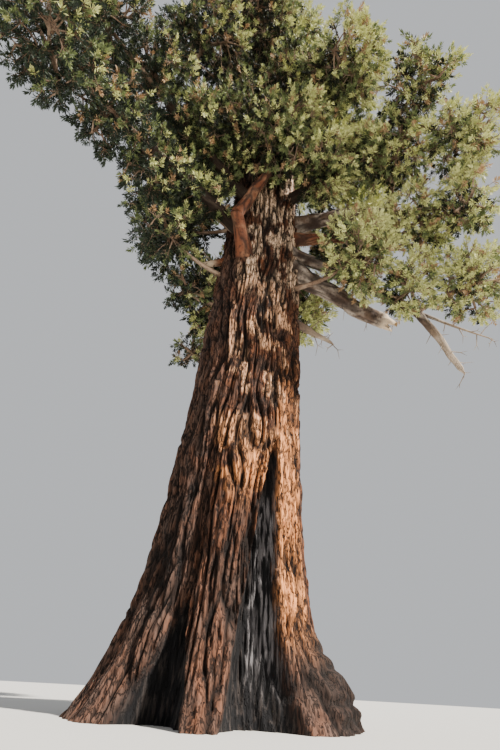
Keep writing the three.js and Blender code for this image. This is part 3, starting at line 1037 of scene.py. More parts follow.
@dataclass(frozen=True)
class Curve:
    """A bend from start to end, pulled towards its middle point."""

    start: Array
    middle: Array
    end: Array
    samples: int = 33

    def at(self, share: Array) -> Array:
        """Find places on the curve.

        Args:
            share: Share of the way at each place.

        Returns:
            The places, one a row.
        """
        share = np.asarray(share, float)[..., None]
        rest = 1 - share
        return rest * rest * self.start + 2 * rest * share * self.middle + share * share * self.end

    def heading(self, share: Array) -> Array:
        """Find which way the curve goes.

        Args:
            share: Share of the way at each place.

        Returns:
            The directions, one a row.
        """
        share = np.asarray(share, float)[..., None]
        first, second = self.middle - self.start, self.end - self.middle
        return unit((1 - share) * first + share * second)

    def length(self) -> float:
        """Measure the curve."""
        steps = np.diff(self.at(np.linspace(0, 1, self.samples)), axis=0)
        return float(np.linalg.norm(steps, axis=1).sum())


def arched(start: Array, end: Array, arch: float) -> Curve:
    """Bend a straight way upwards by the height of its middle point."""
    return Curve(start, (start + end) / 2 + arch * UP, end)


class Tip(Enum):
    """How a limb ends."""

    LIVING = "living"
    BROKEN = "broken"
    DEAD = "dead"


class LimbTone(Enum):
    """The bark of a limb: its colour and that of its weathered patches."""

    # Brown bark of the leafy limbs in the crown, darkened as painted shade.
    BROWN = ("33291f", "453a31")
    RUDDY = ("74452f", "93694f")
    GREY = ("5c4a3e", "a39588")


@dataclass
class Limb:
    """One tapering bough, which grows from the trunk or on from another bough."""

    name: str
    tip: Three
    radii: Two
    arch: float
    bearing: float = 0.0
    height: float = 0.0
    parent: str = ""
    ending: Tip = Tip.LIVING
    tone: LimbTone = LimbTone.BROWN
    sunk: float = 0.35
    collar_share: float = 0.5
    collar_length: float = 0.45
    sides: int = 40
    rings_a_metre: float = 11.0
    least_rings: int = 8
    samples: int = 17
    bark_sway: Grain = Grain(0, 5, 0.7, 0.8)
    ridges: Grain = Grain(1, 14, 0.6)
    lumps: Grain = Grain(2, 4, 0.55, 0.09)
    wander: Grain = Grain(3, 8, 0.8, 0.35)
    splinters: Grain = Grain(4, 18, 1.0)
    furrow_width: float = 0.3
    furrow_depth: float = 0.13
    splinter_length: float = 0.5
    splinter_thinning: float = 0.3
    torn_wood: Two = (1.6, 0.9)
    tip_narrowing: float = 0.75
    tip_length: float = 0.3
    dead_wood: float = 0.3
    dead_range: Two = (0.1, 0.6)
    leafy: bool = False
    carries: bool = False
    curve: Curve = field(init=False)

    def place(self, trunk: Trunk, placed: dict[str, "Limb"]) -> None:
        """Find the limb's curve from what carries it.

        Args:
            trunk: The trunk.
            placed: The limbs that have their place, by name.
        """
        if self.parent:
            placed[self.parent].carries = True
            start = placed[self.parent].curve.end
        else:
            start = trunk.point(np.array(self.bearing), np.array(self.height), -self.sunk)
        self.curve = arched(start, np.array(self.tip), self.arch)

    def radius(self, share: Array) -> Array:
        """Give the limb's radius.

        Args:
            share: Share of the way at each place.

        Returns:
            The radius at each place.
        """
        foot, tip = self.radii
        collar = 0 if self.parent else self.collar_share * foot
        return blend(foot, tip, share) + collar * np.exp(-share * self.curve.length() / self.collar_length)

    def clear_of(self, points: Array, margin: float) -> Array:
        """Tell which points are outside the limb.

        Args:
            points: The points, one a row.
            margin: Least gap to the limb.

        Returns:
            True or false for each point.
        """
        share = np.linspace(0, 1, self.samples)
        gaps = np.linalg.norm(points[:, None] - self.curve.at(share)[None], axis=2)
        return (gaps > self.radius(share) + margin).all(axis=1)

    def build(self, number: int, finish: Material) -> None:
        """Make the limb's bark.

        Args:
            number: Number of the limb, which sets the draw of its bark.
            finish: Its material.
        """
        length = self.curve.length()
        rings = max(self.least_rings, round(self.rings_a_metre * length))
        mesh = tube_mesh(self.name + "_bark", self.sides, rings)
        corners = corners_of(mesh)
        angle = np.arctan2(corners[:, 1], corners[:, 0])
        bearing = np.degrees(angle) % 360
        share = corners[:, 2]
        along = share * length
        sway = self.bark_sway.at(bearing, along, limb=number)
        furrow = bell(self.ridges.at(bearing, along, sway, number), self.furrow_width)
        lumps = self.lumps.at(bearing, along, limb=number)
        radius = self.radius(share) * (1 + lumps - self.furrow_depth * furrow)
        bend = self.radii[1] * np.sin(math.pi * share)
        sideways, lift = (bend * self.wander.at(0 * share + turn, along, limb=number) for turn in (0, 180))
        wood = np.zeros_like(share)
        if self.ending is Tip.BROKEN:
            splinters = self.splinters.at(bearing, 0 * share, limb=number)
            torn = self.splinter_length / length
            near_end = ease(1 - torn, 1, share)
            radius *= 1 - self.splinter_thinning * near_end * (0.5 + 0.5 * splinters)
            share = share - torn * near_end * np.abs(splinters)
            wood = ease(*(1 - reach * torn for reach in self.torn_wood), share)
        elif not self.carries:
            radius *= 1 - self.tip_narrowing * ease(1 - self.tip_length / length, 1, share)
        if self.ending is Tip.DEAD:
            wood = self.dead_wood * ease(*self.dead_range, share)
        level, over = side_frames(self.curve.heading(share), np.zeros(len(share)))
        radius *= np.hypot(corners[:, 0], corners[:, 1])
        place = self.curve.at(share)
        place += level * (radius * np.cos(angle) + sideways)[:, None]
        place += over * (radius * np.sin(angle) + lift)[:, None]
        move_corners(mesh, place)
        paint(mesh, {"furrow": furrow * (1 - wood), "wood": wood})
        add_piece(mesh.name, mesh, finish, [self.name])


@dataclass
class Limbs:
    """All boughs of the tree."""

    trunk: Trunk
    limbs: tuple[Limb, ...] = (
        Limb(
            "limb_stub_right", (3.9, 0.4, 12.2), (0.19, 0.055), 0.06, 343, 11.4,
            ending=Tip.DEAD, tone=LimbTone.GREY,
        ),
        Limb(
            "limb_broken_right", (6.4, 0.05, 13.1), (0.39, 0.31), -0.25, 350, 14.15,
            ending=Tip.BROKEN, tone=LimbTone.GREY,
        ),
        Limb("limb_great_right", (5.8, -2.9, 16.7), (0.35, 0.23), 0.35, 352, 16.9, tone=LimbTone.GREY),
        Limb(
            "limb_pale_right", (5.5, -2.1, 15.9), (0.25, 0.17), 0.15, 340, 15.75,
            ending=Tip.BROKEN, tone=LimbTone.RUDDY,
        ),
        Limb(
            "limb_front_lower", (-0.34, -3.65, 14.8), (0.29, 0.26), -0.2, 249, 13.3,
            tone=LimbTone.RUDDY,
        ),
        Limb(
            "limb_front_upper", (0.95, -3.85, 17.9), (0.255, 0.17), 0.25,
            parent="limb_front_lower", tone=LimbTone.RUDDY,
        ),
        Limb(
            "limb_stub_left", (-1.75, -1.9, 13.95), (0.16, 0.095), -0.06, 197, 14.4,
            ending=Tip.BROKEN, tone=LimbTone.RUDDY,
        ),
        Limb("limb_long_right", (7.0, -0.95, 13.0), (0.25, 0.175), 0.25, 335, 14.9, tone=LimbTone.GREY),
        Limb(
            "limb_hanging_right", (9.05, 0.45, 11.05), (0.20, 0.11), 0.25,
            parent="limb_long_right", ending=Tip.DEAD, tone=LimbTone.GREY,
        ),
        Limb(
            "limb_bare_right", (10.5, 0.0, 12.6), (0.075, 0.022), -0.15,
            parent="limb_long_right", ending=Tip.DEAD, tone=LimbTone.GREY,
        ),
        Limb("limb_left_lower", (-3.6, -5.9, 15.4), (0.26, 0.165), -0.1, 232, 15.3, leafy=True),
        Limb("limb_left_upper", (-3.4, -6.1, 18.5), (0.24, 0.16), -0.2, 228, 17.6, leafy=True),
        Limb("limb_high_left", (-1.3, -5.3, 24.0), (0.21, 0.145), -0.2, 245, 21.0, leafy=True),
        Limb("limb_high_right", (3.0, -5.6, 21.6), (0.22, 0.15), -0.3, 302, 19.6, leafy=True),
        Limb("limb_far_right", (5.7, -5.7, 18.8), (0.23, 0.15), -0.45, 330, 18.0, leafy=True),
    )
    bare_twigs: int = 9
    bare_span: Two = (0.35, 0.98)
    bare_stray: float = 0.02
    bare_forward: float = 0.5
    bare_droop: float = 0.2
    bare_lengths: Two = (0.35, 0.95)
    bare_radii: Three = (0.026, 0.017, 0.005)
    elbow_at: float = 0.55
    elbow_bend: float = 0.7
    fork_length: float = 0.3
    fork_bend: float = 0.9
    fork_radii: Two = (0.013, 0.004)
    bare_wood: float = 0.25
    by_name: dict[str, Limb] = field(init=False, default_factory=dict)

    def __post_init__(self) -> None:
        """Place each limb, those that carry others first."""
        for limb in self.limbs:
            limb.place(self.trunk, self.by_name)
            self.by_name[limb.name] = limb

    def build(self) -> None:
        """Make every limb's bark, and the bare twigs of the dead ones."""
        finishes = {
            tone: LimbFinish("limb_bark_" + tone.name.lower(), *map(colour, tone.value)).material()
            for tone in LimbTone
        }
        for number, limb in enumerate(self.limbs, start=1):
            limb.build(number, finishes[limb.tone])
        self._bare_twigs(finishes[LimbTone.GREY])

    def _bare_twigs(self, finish: Material) -> None:
        """Grow forked bare twigs on the dead limbs and near the torn ends.

        Args:
            finish: Their material.
        """
        rng = np.random.default_rng(SEED)
        twigs = TwigStore()
        bare = [limb for limb in self.limbs if limb.ending is not Tip.LIVING]
        for limb in bare:
            stray = rng.uniform(-self.bare_stray, self.bare_stray, self.bare_twigs)
            share = np.linspace(*self.bare_span, self.bare_twigs) + stray
            heading = limb.curve.heading(share)
            level, over = side_frames(heading, GOLDEN_ANGLE * np.arange(self.bare_twigs))
            aside = unit(level + self.bare_forward * heading - self.bare_droop * UP)
            start = limb.curve.at(share)
            reach = rng.uniform(*self.bare_lengths, self.bare_twigs)[:, None]
            elbow = start + self.elbow_at * reach * aside
            end = elbow + (1 - self.elbow_at) * reach * unit(aside + self.elbow_bend * over)
            fork = elbow + self.fork_length * reach * unit(aside - self.fork_bend * over)
            foot, middle, tip = map(np.array, self.bare_radii)
            twigs.add_rods(start, elbow, foot, middle)
            twigs.add_rods(elbow, end, middle, tip)
            twigs.add_rods(elbow, fork, *map(np.array, self.fork_radii))
        mesh = twigs.build("bare_twigs", self.bare_wood)
        add_piece(mesh.name, mesh, finish, [limb.name for limb in bare])


# The crown


class SourceRandom:
    """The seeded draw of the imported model's source, so that the main twigs are the same ones."""

    def __init__(self, seed: int) -> None:
        """Start the draw."""
        self.state = seed & 0xFFFFFFFF

    def __call__(self) -> float:
        """Draw the next number from 0 to 1."""
        self.state = (self.state + 0x6D2B79F5) & 0xFFFFFFFF
        mixed = ((self.state ^ (self.state >> 15)) * (1 | self.state)) & 0xFFFFFFFF
        again = ((mixed ^ (mixed >> 7)) * (61 | mixed)) & 0xFFFFFFFF
        mixed = ((mixed + again) & 0xFFFFFFFF) ^ mixed
        return (mixed ^ (mixed >> 14)) / 4294967296


class Tint(Enum):
    """The colours of the sprays, each with a lighter and a deeper shade; the lightest is painted sunlight,
    the darkest and the bluish one are painted shade.
    """

    SUNLIT = ("dadc9a", "adb16e")
    GREEN = ("828e5b", "55603b")
    # Painted shade deep in the crown and on sprays turned from the front.
    DEEP = ("1f2713", "11150a")
    # Painted shade, bluish, on the left of the crown.
    BLUISH = ("394632", "1d251c")
    TAN = ("c0a077", "8f7051")


@dataclass
class Mass:
    """A mass of foliage: where its heart is, and the ball that it keeps to.

    Fullness is the share of the ball that is filled, upright how tall the space is for its width,
    and coarseness how large its tufts are.
    """

    name: str
    carrier: str
    bearing: float
    reach: float
    height: float
    ball: float
    fullness: float = 1.0
    upright: float = 0.95
    coarseness: float = 1.0
    number: int = 0
    heart: Array = field(init=False)
    stem: Curve = field(init=False)


@dataclass(frozen=True)
class Tier:
    """A few masses round the trunk at one height."""

    name: str
    height: float
    reach: float
    ball: float
    first_bearing: float
    last_bearing: float
    count: int = 3
    upright: float = 1.22
    coarseness: float = 1.6

    def masses(self) -> list[Mass]:
        """List the tier's masses."""
        bearings = np.linspace(self.first_bearing, self.last_bearing, self.count)
        sizes = (self.reach, self.height, self.ball, 1.0, self.upright, self.coarseness)
        return [
            Mass(f"{self.name}_{number}", "trunk", bearing, *sizes)
            for number, bearing in enumerate(bearings, start=1)
        ]


@dataclass
class TuftShape:
    """A spray of short shoots round a twig's end, like a tassel, for a length of 1."""

    shoots: int = 22
    axis_share: float = 0.6
    shoot_length: float = 0.5
    half_width: float = 0.058
    widest: float = 0.58
    kinds: int = 16
    stagger: float = 0.03
    first_lean: float = 82.0
    last_lean: float = 12.0
    lean_power: float = 0.8
    lean_stray: float = 14.0
    lengths: Two = (0.75, 1.15)

    def kites(self) -> Array:
        """Make the shoots of every kind of tuft.

        Returns:
            Corners by kind, shoot, corner and axis; the tuft's own axis is +Z.
        """
        rng = np.random.default_rng(SEED)
        size = (self.kinds, self.shoots)
        rank = np.arange(self.shoots) / (self.shoots - 1)
        start = self.axis_share * rank + rng.uniform(-self.stagger, self.stagger, size)
        stray = rng.uniform(-self.lean_stray, self.lean_stray, size)
        lean = np.radians(blend(self.first_lean, self.last_lean, rank**self.lean_power) + stray)
        around = GOLDEN_ANGLE * np.arange(self.shoots) + rng.uniform(0, 2 * math.pi, (self.kinds, 1))
        length = self.shoot_length * rng.uniform(*self.lengths, size)
        flat = np.sin(lean)
        heading = np.stack((flat * np.cos(around), flat * np.sin(around), np.cos(lean)), axis=-1)
        side, _ = side_frames(heading.reshape(-1, 3), rng.uniform(0, math.pi, self.kinds * self.shoots))
        side = side.reshape(heading.shape)
        root = np.zeros_like(heading)
        root[..., 2] = start
        tip = root + heading * length[..., None]
        belly = root + self.widest * heading * length[..., None]
        return np.stack((root, belly + self.half_width * side, tip, belly - self.half_width * side), axis=2)


@dataclass
class Sprays:
    """Sprays to be laid, one a row.

    The spots are their middles, owners the number of each one's clump, headings where each points
    and depth how near the outside of the crown each is, from 0 to 1.
    """

    spots: Array
    owners: Array
    headings: Array
    depth: Array
    length: float


@dataclass(frozen=True)
class Dealer:
    """The rule that deals out the tints, painting light and shade into them: lighter outside and towards the
    front and the right, where the sun falls, and darker deep inside, high up and on the left.

    A field that begins with by says how much its cause weighs; where two numbers stand together,
    something begins at the first and is full at the second.
    """

    front: Three = (0.45, -0.8, -0.15)
    by_depth: float = 0.5
    by_front: float = 0.22
    by_chance: float = 0.32
    by_clump: float = 0.09
    by_metre_right: float = 0.05
    right_range: Two = (-6, 4)
    high_shade: float = 0.08
    high_range: Two = (20, 26)
    low_right_light: float = 0.12
    low_right_range: Two = (1.5, 3.5)
    low_range: Two = (17, 15)
    left_border: Two = (-3.8, -0.9)
    tan_share: float = 0.08
    tan_above: float = 0.3
    green_above: float = 0.36
    sunlit_above: float = 0.6

    def deal(self, sprays: Sprays, rng: Draw) -> list[Tint]:
        """Give each spray its tint.

        Args:
            sprays: The sprays.
            rng: The draw.

        Returns:
            The tint of each.
        """
        count = len(sprays.spots)
        right, _, height = sprays.spots.T
        frontward = sprays.headings @ unit(np.array(self.front))
        shine = rng.normal(0, self.by_clump, sprays.owners.max() + 1)[sprays.owners]
        # Painted light and shade: lighter outside the crown, facing the front and towards the right, where
        # the sun falls; the draws by chance and by clump are the sprays' own uneven tone.
        light = self.by_depth * sprays.depth + self.by_front * frontward
        light += self.by_chance * rng.uniform(-1, 1, count) + shine
        light += self.by_metre_right * np.clip(right, *self.right_range)
        # Painted shade high up and painted light low on the right.
        light -= self.high_shade * ease(*self.high_range, height)
        light += self.low_right_light * ease(*self.low_right_range, right) * ease(*self.low_range, height)
        # Sprays on the left take the bluish painted shade.
        left = right < rng.uniform(*self.left_border, count)
        tan = rng.uniform(0, 1, count) < self.tan_share
        return [self._tint(*row) for row in zip(light, left, tan)]

    def _tint(self, light: float, left: bool, tan: bool) -> Tint:
        """Choose one spray's tint.

        Args:
            light: How much painted light its place gets.
            left: Whether it counts to the left of the crown.
            tan: Whether it may be a dry one.

        Returns:
            The tint.
        """
        if tan and light > self.tan_above:
            return Tint.TAN
        if light > self.sunlit_above:
            return Tint.SUNLIT
        if light > self.green_above:
            return Tint.GREEN
        # Painted shade: the darkest sprays, bluish on the left of the crown.
        return Tint.BLUISH if left else Tint.DEEP


class Leafage:
    """The twigs and sprays of one part of the crown, joined by kind.

    Lengths say how much shorter or longer than usual a spray may be, and middle which share of
    its length lies before its spot.
    """

    lengths: Two = (0.85, 1.1)
    middle: float = 0.45

    def __init__(self, part: str, shapes: Array) -> None:
        """Start with no twigs or sprays.

        Args:
            part: Name of the part.
            shapes: Corners of every kind of tuft, for a length of 1.
        """
        self.part = part
        self.shapes = shapes
        self.dealer = Dealer()
        self.twigs = TwigStore()
        self.stores = {tint: JoinedMesh() for tint in Tint}

    def lay(self, sprays: Sprays, rng: Draw) -> None:
        """Lay the sprays, each into the store of its tint.

        Args:
            sprays: The sprays.
            rng: The draw.
        """
        tints = self.dealer.deal(sprays, rng)
        count = len(tints)
        level, over = side_frames(sprays.headings, rng.uniform(0, 2 * math.pi, count))
        basis = np.stack((level, over, sprays.headings), axis=1)
        size = sprays.length * rng.uniform(*self.lengths, count)
        kind = rng.integers(0, len(self.shapes), count)
        local = self.shapes[kind].reshape(count, -1, 3) - self.middle * UP
        corners = sprays.spots[:, None] + np.einsum("tvk,tkx->tvx", local, basis) * size[:, None, None]
        faces = np.arange(corners.shape[1]).reshape(-1, 4)
        for tint, store in self.stores.items():
            mine = corners[[tint is other for other in tints]]
            offsets = corners.shape[1] * np.arange(len(mine))[:, None, None]
            if len(mine):
                store.add(mine.reshape(-1, 3), (faces[None] + offsets).reshape(-1, 4))

    def build(
        self, nodes: list[str], bark: Material, needles: dict[Tint, Material]
    ) -> None:
        """Make the part's pieces.

        Args:
            nodes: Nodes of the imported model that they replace.
            bark: Material of the twigs.
            needles: Material of each tint.
        """
        mesh = self.twigs.build(f"twigs_{self.part}")
        add_piece(mesh.name, mesh, bark, nodes)
        for tint, store in self.stores.items():
            if store.corner_count:
                mesh = store.build(f"needles_{tint.name.lower()}_{self.part}")
                add_piece(mesh.name, mesh, needles[tint], nodes)


@dataclass
class Crown:
    """All masses of foliage, and the rule by which each grows.

    Where two numbers stand together, something is drawn from between them, or tapers from the
    first to the second.
    """

    trunk: Trunk
    limbs: Limbs
    low: Array
    high: Array
    masses: list[Mass] = field(init=False)
    front_count: int = field(init=False)
    tufts: TuftShape = field(default_factory=TuftShape)
    flatness: float = 0.9
    twig_count: int = 8
    twig_reach: float = 0.58
    twig_start: float = 0.9
    core_draws: int = 12
    stem_rise: float = 0.28
    stem_sunk: float = 0.1
    stem_elbow: float = 0.6
    top_stem_start: float = 0.35
    stem_foot: float = 0.09
    stem_gain: float = 0.018
    stem_tip: float = 0.065
    stem_points: int = 7
    twig_radii: Two = (0.085, 0.045)
    branch_radii: Three = (0.038, 0.027, 0.016)
    branch_starts: Two = (0.3, 1.1)
    branch_end: float = 0.85
    branch_arch: float = 0.12
    fork_at: float = 0.7
    spur_radii: Two = (0.014, 0.008)
    spur_gap: float = 0.1
    outward_pull: float = 0.6
    upward_pull: float = 0.25
    heading_stray: float = 0.35
    tuft_length: float = 0.34
    tuft_gap: float = 0.10
    clumps_a_cubic_metre: float = 2.3
    tries_a_clump: int = 8
    clump_gap: float = 0.40
    clump_spread: float = 0.165
    clump_sizes: Two = (0.75, 1.2)
    clump_margin: float = 0.02
    tufts_a_clump: int = 11
    tries_a_tuft: int = 3
    inmost: float = 0.05
    outward_power: float = 0.45
    lobe_count: int = 14
    lobe_dip: float = 0.78
    lobe_edge: Two = (0.8, 0.97)
    tuft_inside: float = 0.4
    trunk_gap: float = 0.22
    limb_gap: float = 0.10
    rim_gap: float = 0.12
    sprays_a_metre: float = 7.0
    leafy_from: float = 0.22
    leafy_reach: Two = (0.2, 0.6)
    leafy_forward: float = 0.4
    leafy_depth: float = 0.55

    def __post_init__(self) -> None:
        """Lay out the masses on the limbs and round the trunk."""
        carried = {
            "trunk": (
                ("left_low", 204, 3.9, 14.3, 1.50),
                ("left_under", 173, 2.8, 13.3, 1.25),
                ("left_lone", 139, 3.4, 11.8, 0.99),
                ("left_behind", 212, 3.1, 16.5, 1.58),
                ("front_left", 250, 3.0, 19.8, 2.05),
                ("front_right", 284, 3.0, 24.0, 1.99),
                ("right_under", 342, 3.9, 14.0, 1.95),
            ),
            "limb_left_lower": (
                ("left_outer", 226, 9.4, 15.2, 1.99),
                ("left_middle", 222, 7.3, 15.7, 1.70),
                ("left_inner", 218, 5.3, 15.2, 1.64),
            ),
            "limb_left_upper": (
                ("left_top", 225, 9.0, 19.5, 2.11),
                ("left_high", 225, 6.6, 19.6, 1.99),
                ("left_near", 226, 4.2, 18.7, 1.87),
            ),
            "limb_high_left": (("front_top", 257, 4.6, 26.5, 2.34), ("front_high", 236, 5.5, 23.2, 2.22)),
            "limb_front_upper": (("front", 281, 3.1, 18.7, 2.05), ("front_low", 314, 3.4, 17.8, 1.76)),
            "limb_high_right": (("right_top", 303, 5.3, 21.6, 2.15),),
            "limb_far_right": (
                ("right_high", 320, 7.4, 19.6, 2.05, 0.84),
                ("right_far", 328, 8.1, 16.5, 1.75),
            ),
            "limb_great_right": (
                ("right_middle", 330, 5.9, 17.8, 1.93),
                ("right_low", 344, 6.4, 15.4, 1.76),
                ("right_tip", 335, 7.8, 14.3, 1.33),
            ),
            "limb_long_right": (("right_inner", 352, 5.8, 13.0, 1.60), ("right_outer", 350, 7.9, 12.7, 1.75)),
        }
        tiers = (
            Tier("foliage_back_low", 16.2, 4.0, 2.3, 60, 122),
            Tier("foliage_back_middle", 18.7, 4.5, 2.6, 15, 160),
            Tier("foliage_back_high", 22.4, 4.2, 2.7, 5, 175),
            Tier("foliage_crown_low", 26.9, 3.5, 2.9, -10, 150),
            Tier("foliage_crown_middle", 31.0, 2.4, 2.8, 30, 270),
            Tier("foliage_crown_high", 34.8, 1.7, 2.6, 90, 330),
        )
        self.masses = [
            Mass("foliage_" + name, carrier, *sizes)
            for carrier, listed in carried.items()
            for name, *sizes in listed
        ]
        self.front_count = len(self.masses)
        for tier in tiers:
            self.masses += tier.masses()
        self.masses.append(Mass("foliage_crown_top", "trunk", 0, 0, 38.2, 2.35, coarseness=1.6))
        for number, mass in enumerate(self.masses):
            mass.number = number
            mass.heart = self.trunk.axis(np.array(mass.height)) + mass.reach * outward(np.array(mass.bearing))
            mass.stem = self._stem(mass)

    def _stem(self, mass: Mass) -> Curve:
        """Find the way of a mass's stem from its carrier to its heart.

        Args:
            mass: The mass.

        Returns:
            The curve.
        """
        if mass.reach == 0:
            start = self.trunk.axis(np.array(self.trunk.top - self.top_stem_start))
            return arched(start, mass.heart, 0)
        if mass.carrier != "trunk":
            return arched(self.limbs.by_name[mass.carrier].curve.end, mass.heart, 0)
        height = mass.height - self.stem_rise * mass.reach
        start = self.trunk.point(np.array(mass.bearing), np.array(height), -self.stem_sunk)
        elbow = blend(start, mass.heart, self.stem_elbow)
        elbow[2] = height
        return Curve(start, elbow, mass.heart)

    def _claim(self, points: Array, mass: Mass) -> Array:
        """Give each point's squared distance to the heart less the ball's own square."""
        aside = (points - mass.heart) / np.array((1, 1, mass.upright))
        return (aside**2).sum(axis=1) - mass.ball**2

    def _in_space(self, points: Array, mass: Mass, margin: float) -> Array:
        """Tell which points the mass may fill: its own, and clear of the trunk and limbs.

        Args:
            points: The points, one a row.
            mass: The mass.
            margin: How far inside its border with other masses they have to be.

        Returns:
            True or false for each point.
        """
        claim = self._claim(points, mass)
        kept = claim < 0
        kept &= (points > self.low + self.rim_gap).all(axis=1)
        kept &= (points < self.high - self.rim_gap).all(axis=1)
        kept &= self.trunk.clear_of(points, self.trunk_gap)
        for limb in self.limbs.limbs:
            kept &= limb.clear_of(points, self.limb_gap)
        for other in self.masses:
            apart = np.linalg.norm(other.heart - mass.heart)
            if other is not mass and apart < other.ball + mass.ball:
                kept &= claim + 2 * margin * apart < self._claim(points, other)
        return kept

    @staticmethod
    def _spaced(points: Array, gap: float, wanted: int) -> Array:
        """Keep points in turn, each at least a gap from those kept before.

        Args:
            points: The points, one a row.
            gap: The gap.
            wanted: How many are enough.

        Returns:
            The points kept.
        """
        chosen = points[:1]
        for point in points[1:]:
            if len(chosen) == wanted:
                break
            if ((chosen - point) ** 2).sum(axis=1).min() > gap**2:
                chosen = np.vstack((chosen, point))
        return chosen

    def _clumps(self, mass: Mass, rng: Draw) -> Array:
        """Pick the middles of a mass's clumps of tufts, with gaps between.

        Args:
            mass: The mass.
            rng: Its draw.

        Returns:
            The middles, one a row.
        """
        room = 4 / 3 * math.pi * (mass.fullness * mass.ball / mass.coarseness) ** 3 * mass.upright
        wanted = round(self.clumps_a_cubic_metre * room)
        tries = self.tries_a_clump * wanted
        heading = unit(rng.normal(size=(tries, 3)))
        share = rng.uniform(self.inmost, 1, tries) ** self.outward_power
        lobes = unit(rng.normal(size=(self.lobe_count, 3)))
        rim = blend(self.lobe_dip, 1.0, ease(*self.lobe_edge, (heading @ lobes.T).max(axis=1)))
        edge = mass.fullness * mass.ball - self.tuft_inside * mass.coarseness * self.tuft_length
        points = (share * rim)[:, None] * heading * edge
        points[:, 2] *= mass.upright
        points += mass.heart
        points = points[self._in_space(points, mass, self.clump_margin)]
        return self._spaced(points, mass.coarseness * self.clump_gap, wanted)

    def _spots(self, mass: Mass, clumps: Array, rng: Draw) -> tuple[Array, Array]:
        """Pick the middles of the tufts of each clump.

        Args:
            mass: The mass.
            clumps: Middles of its clumps, one a row.
            rng: Its draw.

        Returns:
            The middles of the tufts, one a row, and the number of each one's clump.
        """
        spots, owners = [], []
        for number, middle in enumerate(clumps):
            size = rng.uniform(*self.clump_sizes)
            spread = size * mass.coarseness * self.clump_spread
            drawn = middle + rng.normal(0, spread, (self.tries_a_tuft * self.tufts_a_clump, 3))
            drawn = drawn[self._in_space(drawn, mass, 0.0)]
            if len(drawn):
                gap = mass.coarseness * self.tuft_gap
                kept = self._spaced(drawn, gap, round(size * self.tufts_a_clump))
                spots.append(kept)
                owners += [number] * len(kept)
        return np.concatenate(spots), np.array(owners)

    def _main_twigs(self, mass: Mass) -> tuple[Array, Array]:
        """Grow the mass's main twigs as its source does.

        Args:
            mass: The mass.

        Returns:
            Where the twigs leave the stem and where they end, one a row in each.
        """
        draw = SourceRandom(SEED + mass.number)
        for _ in range(self.core_draws):
            draw()
        turn = 2 * math.pi * draw()
        feet, ends = [], []
        for i in range(self.twig_count):
            rise = 1 - (2 * i + 1) / self.twig_count
            flat = math.sqrt(1 - rise * rise)
            angle = turn + i * GOLDEN_ANGLE
            feet.append(mass.stem.at(blend(self.twig_start, 1, draw())))
            draw()
            reach = np.array((flat * math.cos(angle), flat * math.sin(angle), self.flatness * rise))
            ends.append(mass.heart + self.twig_reach * mass.ball * reach)
        return np.array(feet), np.array(ends)

    def _branch(self, mass: Mass, clumps: Array, twigs: TwigStore, rng: Draw) -> Array:
        """Grow the stem, the main twigs and a bent branch to each clump of a mass.

        Args:
            mass: The mass.
            clumps: Middles of its clumps, one a row.
            twigs: Store that the wood goes to.
            rng: The mass's draw.

        Returns:
            Where each branch forks into the finest twigs, one a row.
        """
        share = np.linspace(0, 1, self.stem_points)
        foot = self.stem_foot + self.stem_gain * mass.stem.length()
        twigs.add_path(mass.stem.at(share), blend(foot, self.stem_tip, np.sqrt(share)))
        feet, ends = self._main_twigs(mass)
        twigs.add_rods(feet, ends, *map(np.array, self.twig_radii))
        nearest = np.linalg.norm(clumps[:, None] - ends[None], axis=2).argmin(axis=1)
        along = np.clip(rng.uniform(*self.branch_starts, len(clumps)), 0, 1)[:, None]
        root = blend(feet[nearest], ends[nearest], along)
        head = blend(root, clumps, self.branch_end)
        rise = self.branch_arch * UP * np.linalg.norm(head - root, axis=1)[:, None]
        bend = blend(root, head, 0.5) + rise
        foot, elbow, tip = map(np.array, self.branch_radii)
        twigs.add_rods(root, bend, foot, elbow)
        twigs.add_rods(bend, head, elbow, tip)
        return blend(bend, head, self.fork_at)

    def _grow(self, mass: Mass, leafage: Leafage) -> None:
        """Grow one mass.

        Args:
            mass: The mass.
            leafage: The part of the crown that it goes into.
        """
        rng = np.random.default_rng(SEED + mass.number)
        clumps = self._clumps(mass, rng)
        spots, owners = self._spots(mass, clumps, rng)
        forks = self._branch(mass, clumps, leafage.twigs, rng)[owners]
        outwards = unit(spots - mass.heart)
        stray = rng.normal(0, self.heading_stray, spots.shape)
        pull = self.outward_pull * outwards + self.upward_pull * UP
        headings = unit(unit(spots - forks) + pull + stray)
        length = mass.coarseness * self.tuft_length
        ends = spots - self.spur_gap * length * headings
        leafage.twigs.add_rods(forks, ends, *map(np.array, self.spur_radii))
        depth = np.linalg.norm(spots - mass.heart, axis=1) / mass.ball
        leafage.lay(Sprays(spots, owners, headings, depth, length), rng)

    def _clothe(self, limb: Limb, leafage: Leafage) -> None:
        """Grow short leafy twigs along a limb.

        Args:
            limb: The limb.
            leafage: The part of the crown that they go into.
        """
        count = round(self.sprays_a_metre * limb.curve.length())
        rng = np.random.default_rng(SEED + count)
        share = np.linspace(self.leafy_from, 1, count)
        heading = limb.curve.heading(share)
        aside, _ = side_frames(heading, GOLDEN_ANGLE * np.arange(count))
        reach = limb.radius(share) + rng.uniform(*self.leafy_reach, count)
        start = limb.curve.at(share)
        middles = start + reach[:, None] * unit(aside + self.leafy_forward * heading)
        leafage.twigs.add_rods(start, middles, *map(np.array, self.branch_radii[1:]))
        owners = np.repeat(np.arange(count), self.tufts_a_clump)
        spots = middles[owners] + rng.normal(0, self.clump_spread, (len(owners), 3))
        kept = self.trunk.clear_of(spots, self.trunk_gap) & limb.clear_of(spots, self.limb_gap)
        spots, owners = spots[kept], owners[kept]
        headings = unit(unit(spots - start[owners]) + rng.normal(0, self.heading_stray, spots.shape))
        depth = np.full(len(spots), self.leafy_depth)
        leafage.lay(Sprays(spots, owners, headings, depth, self.tuft_length), rng)

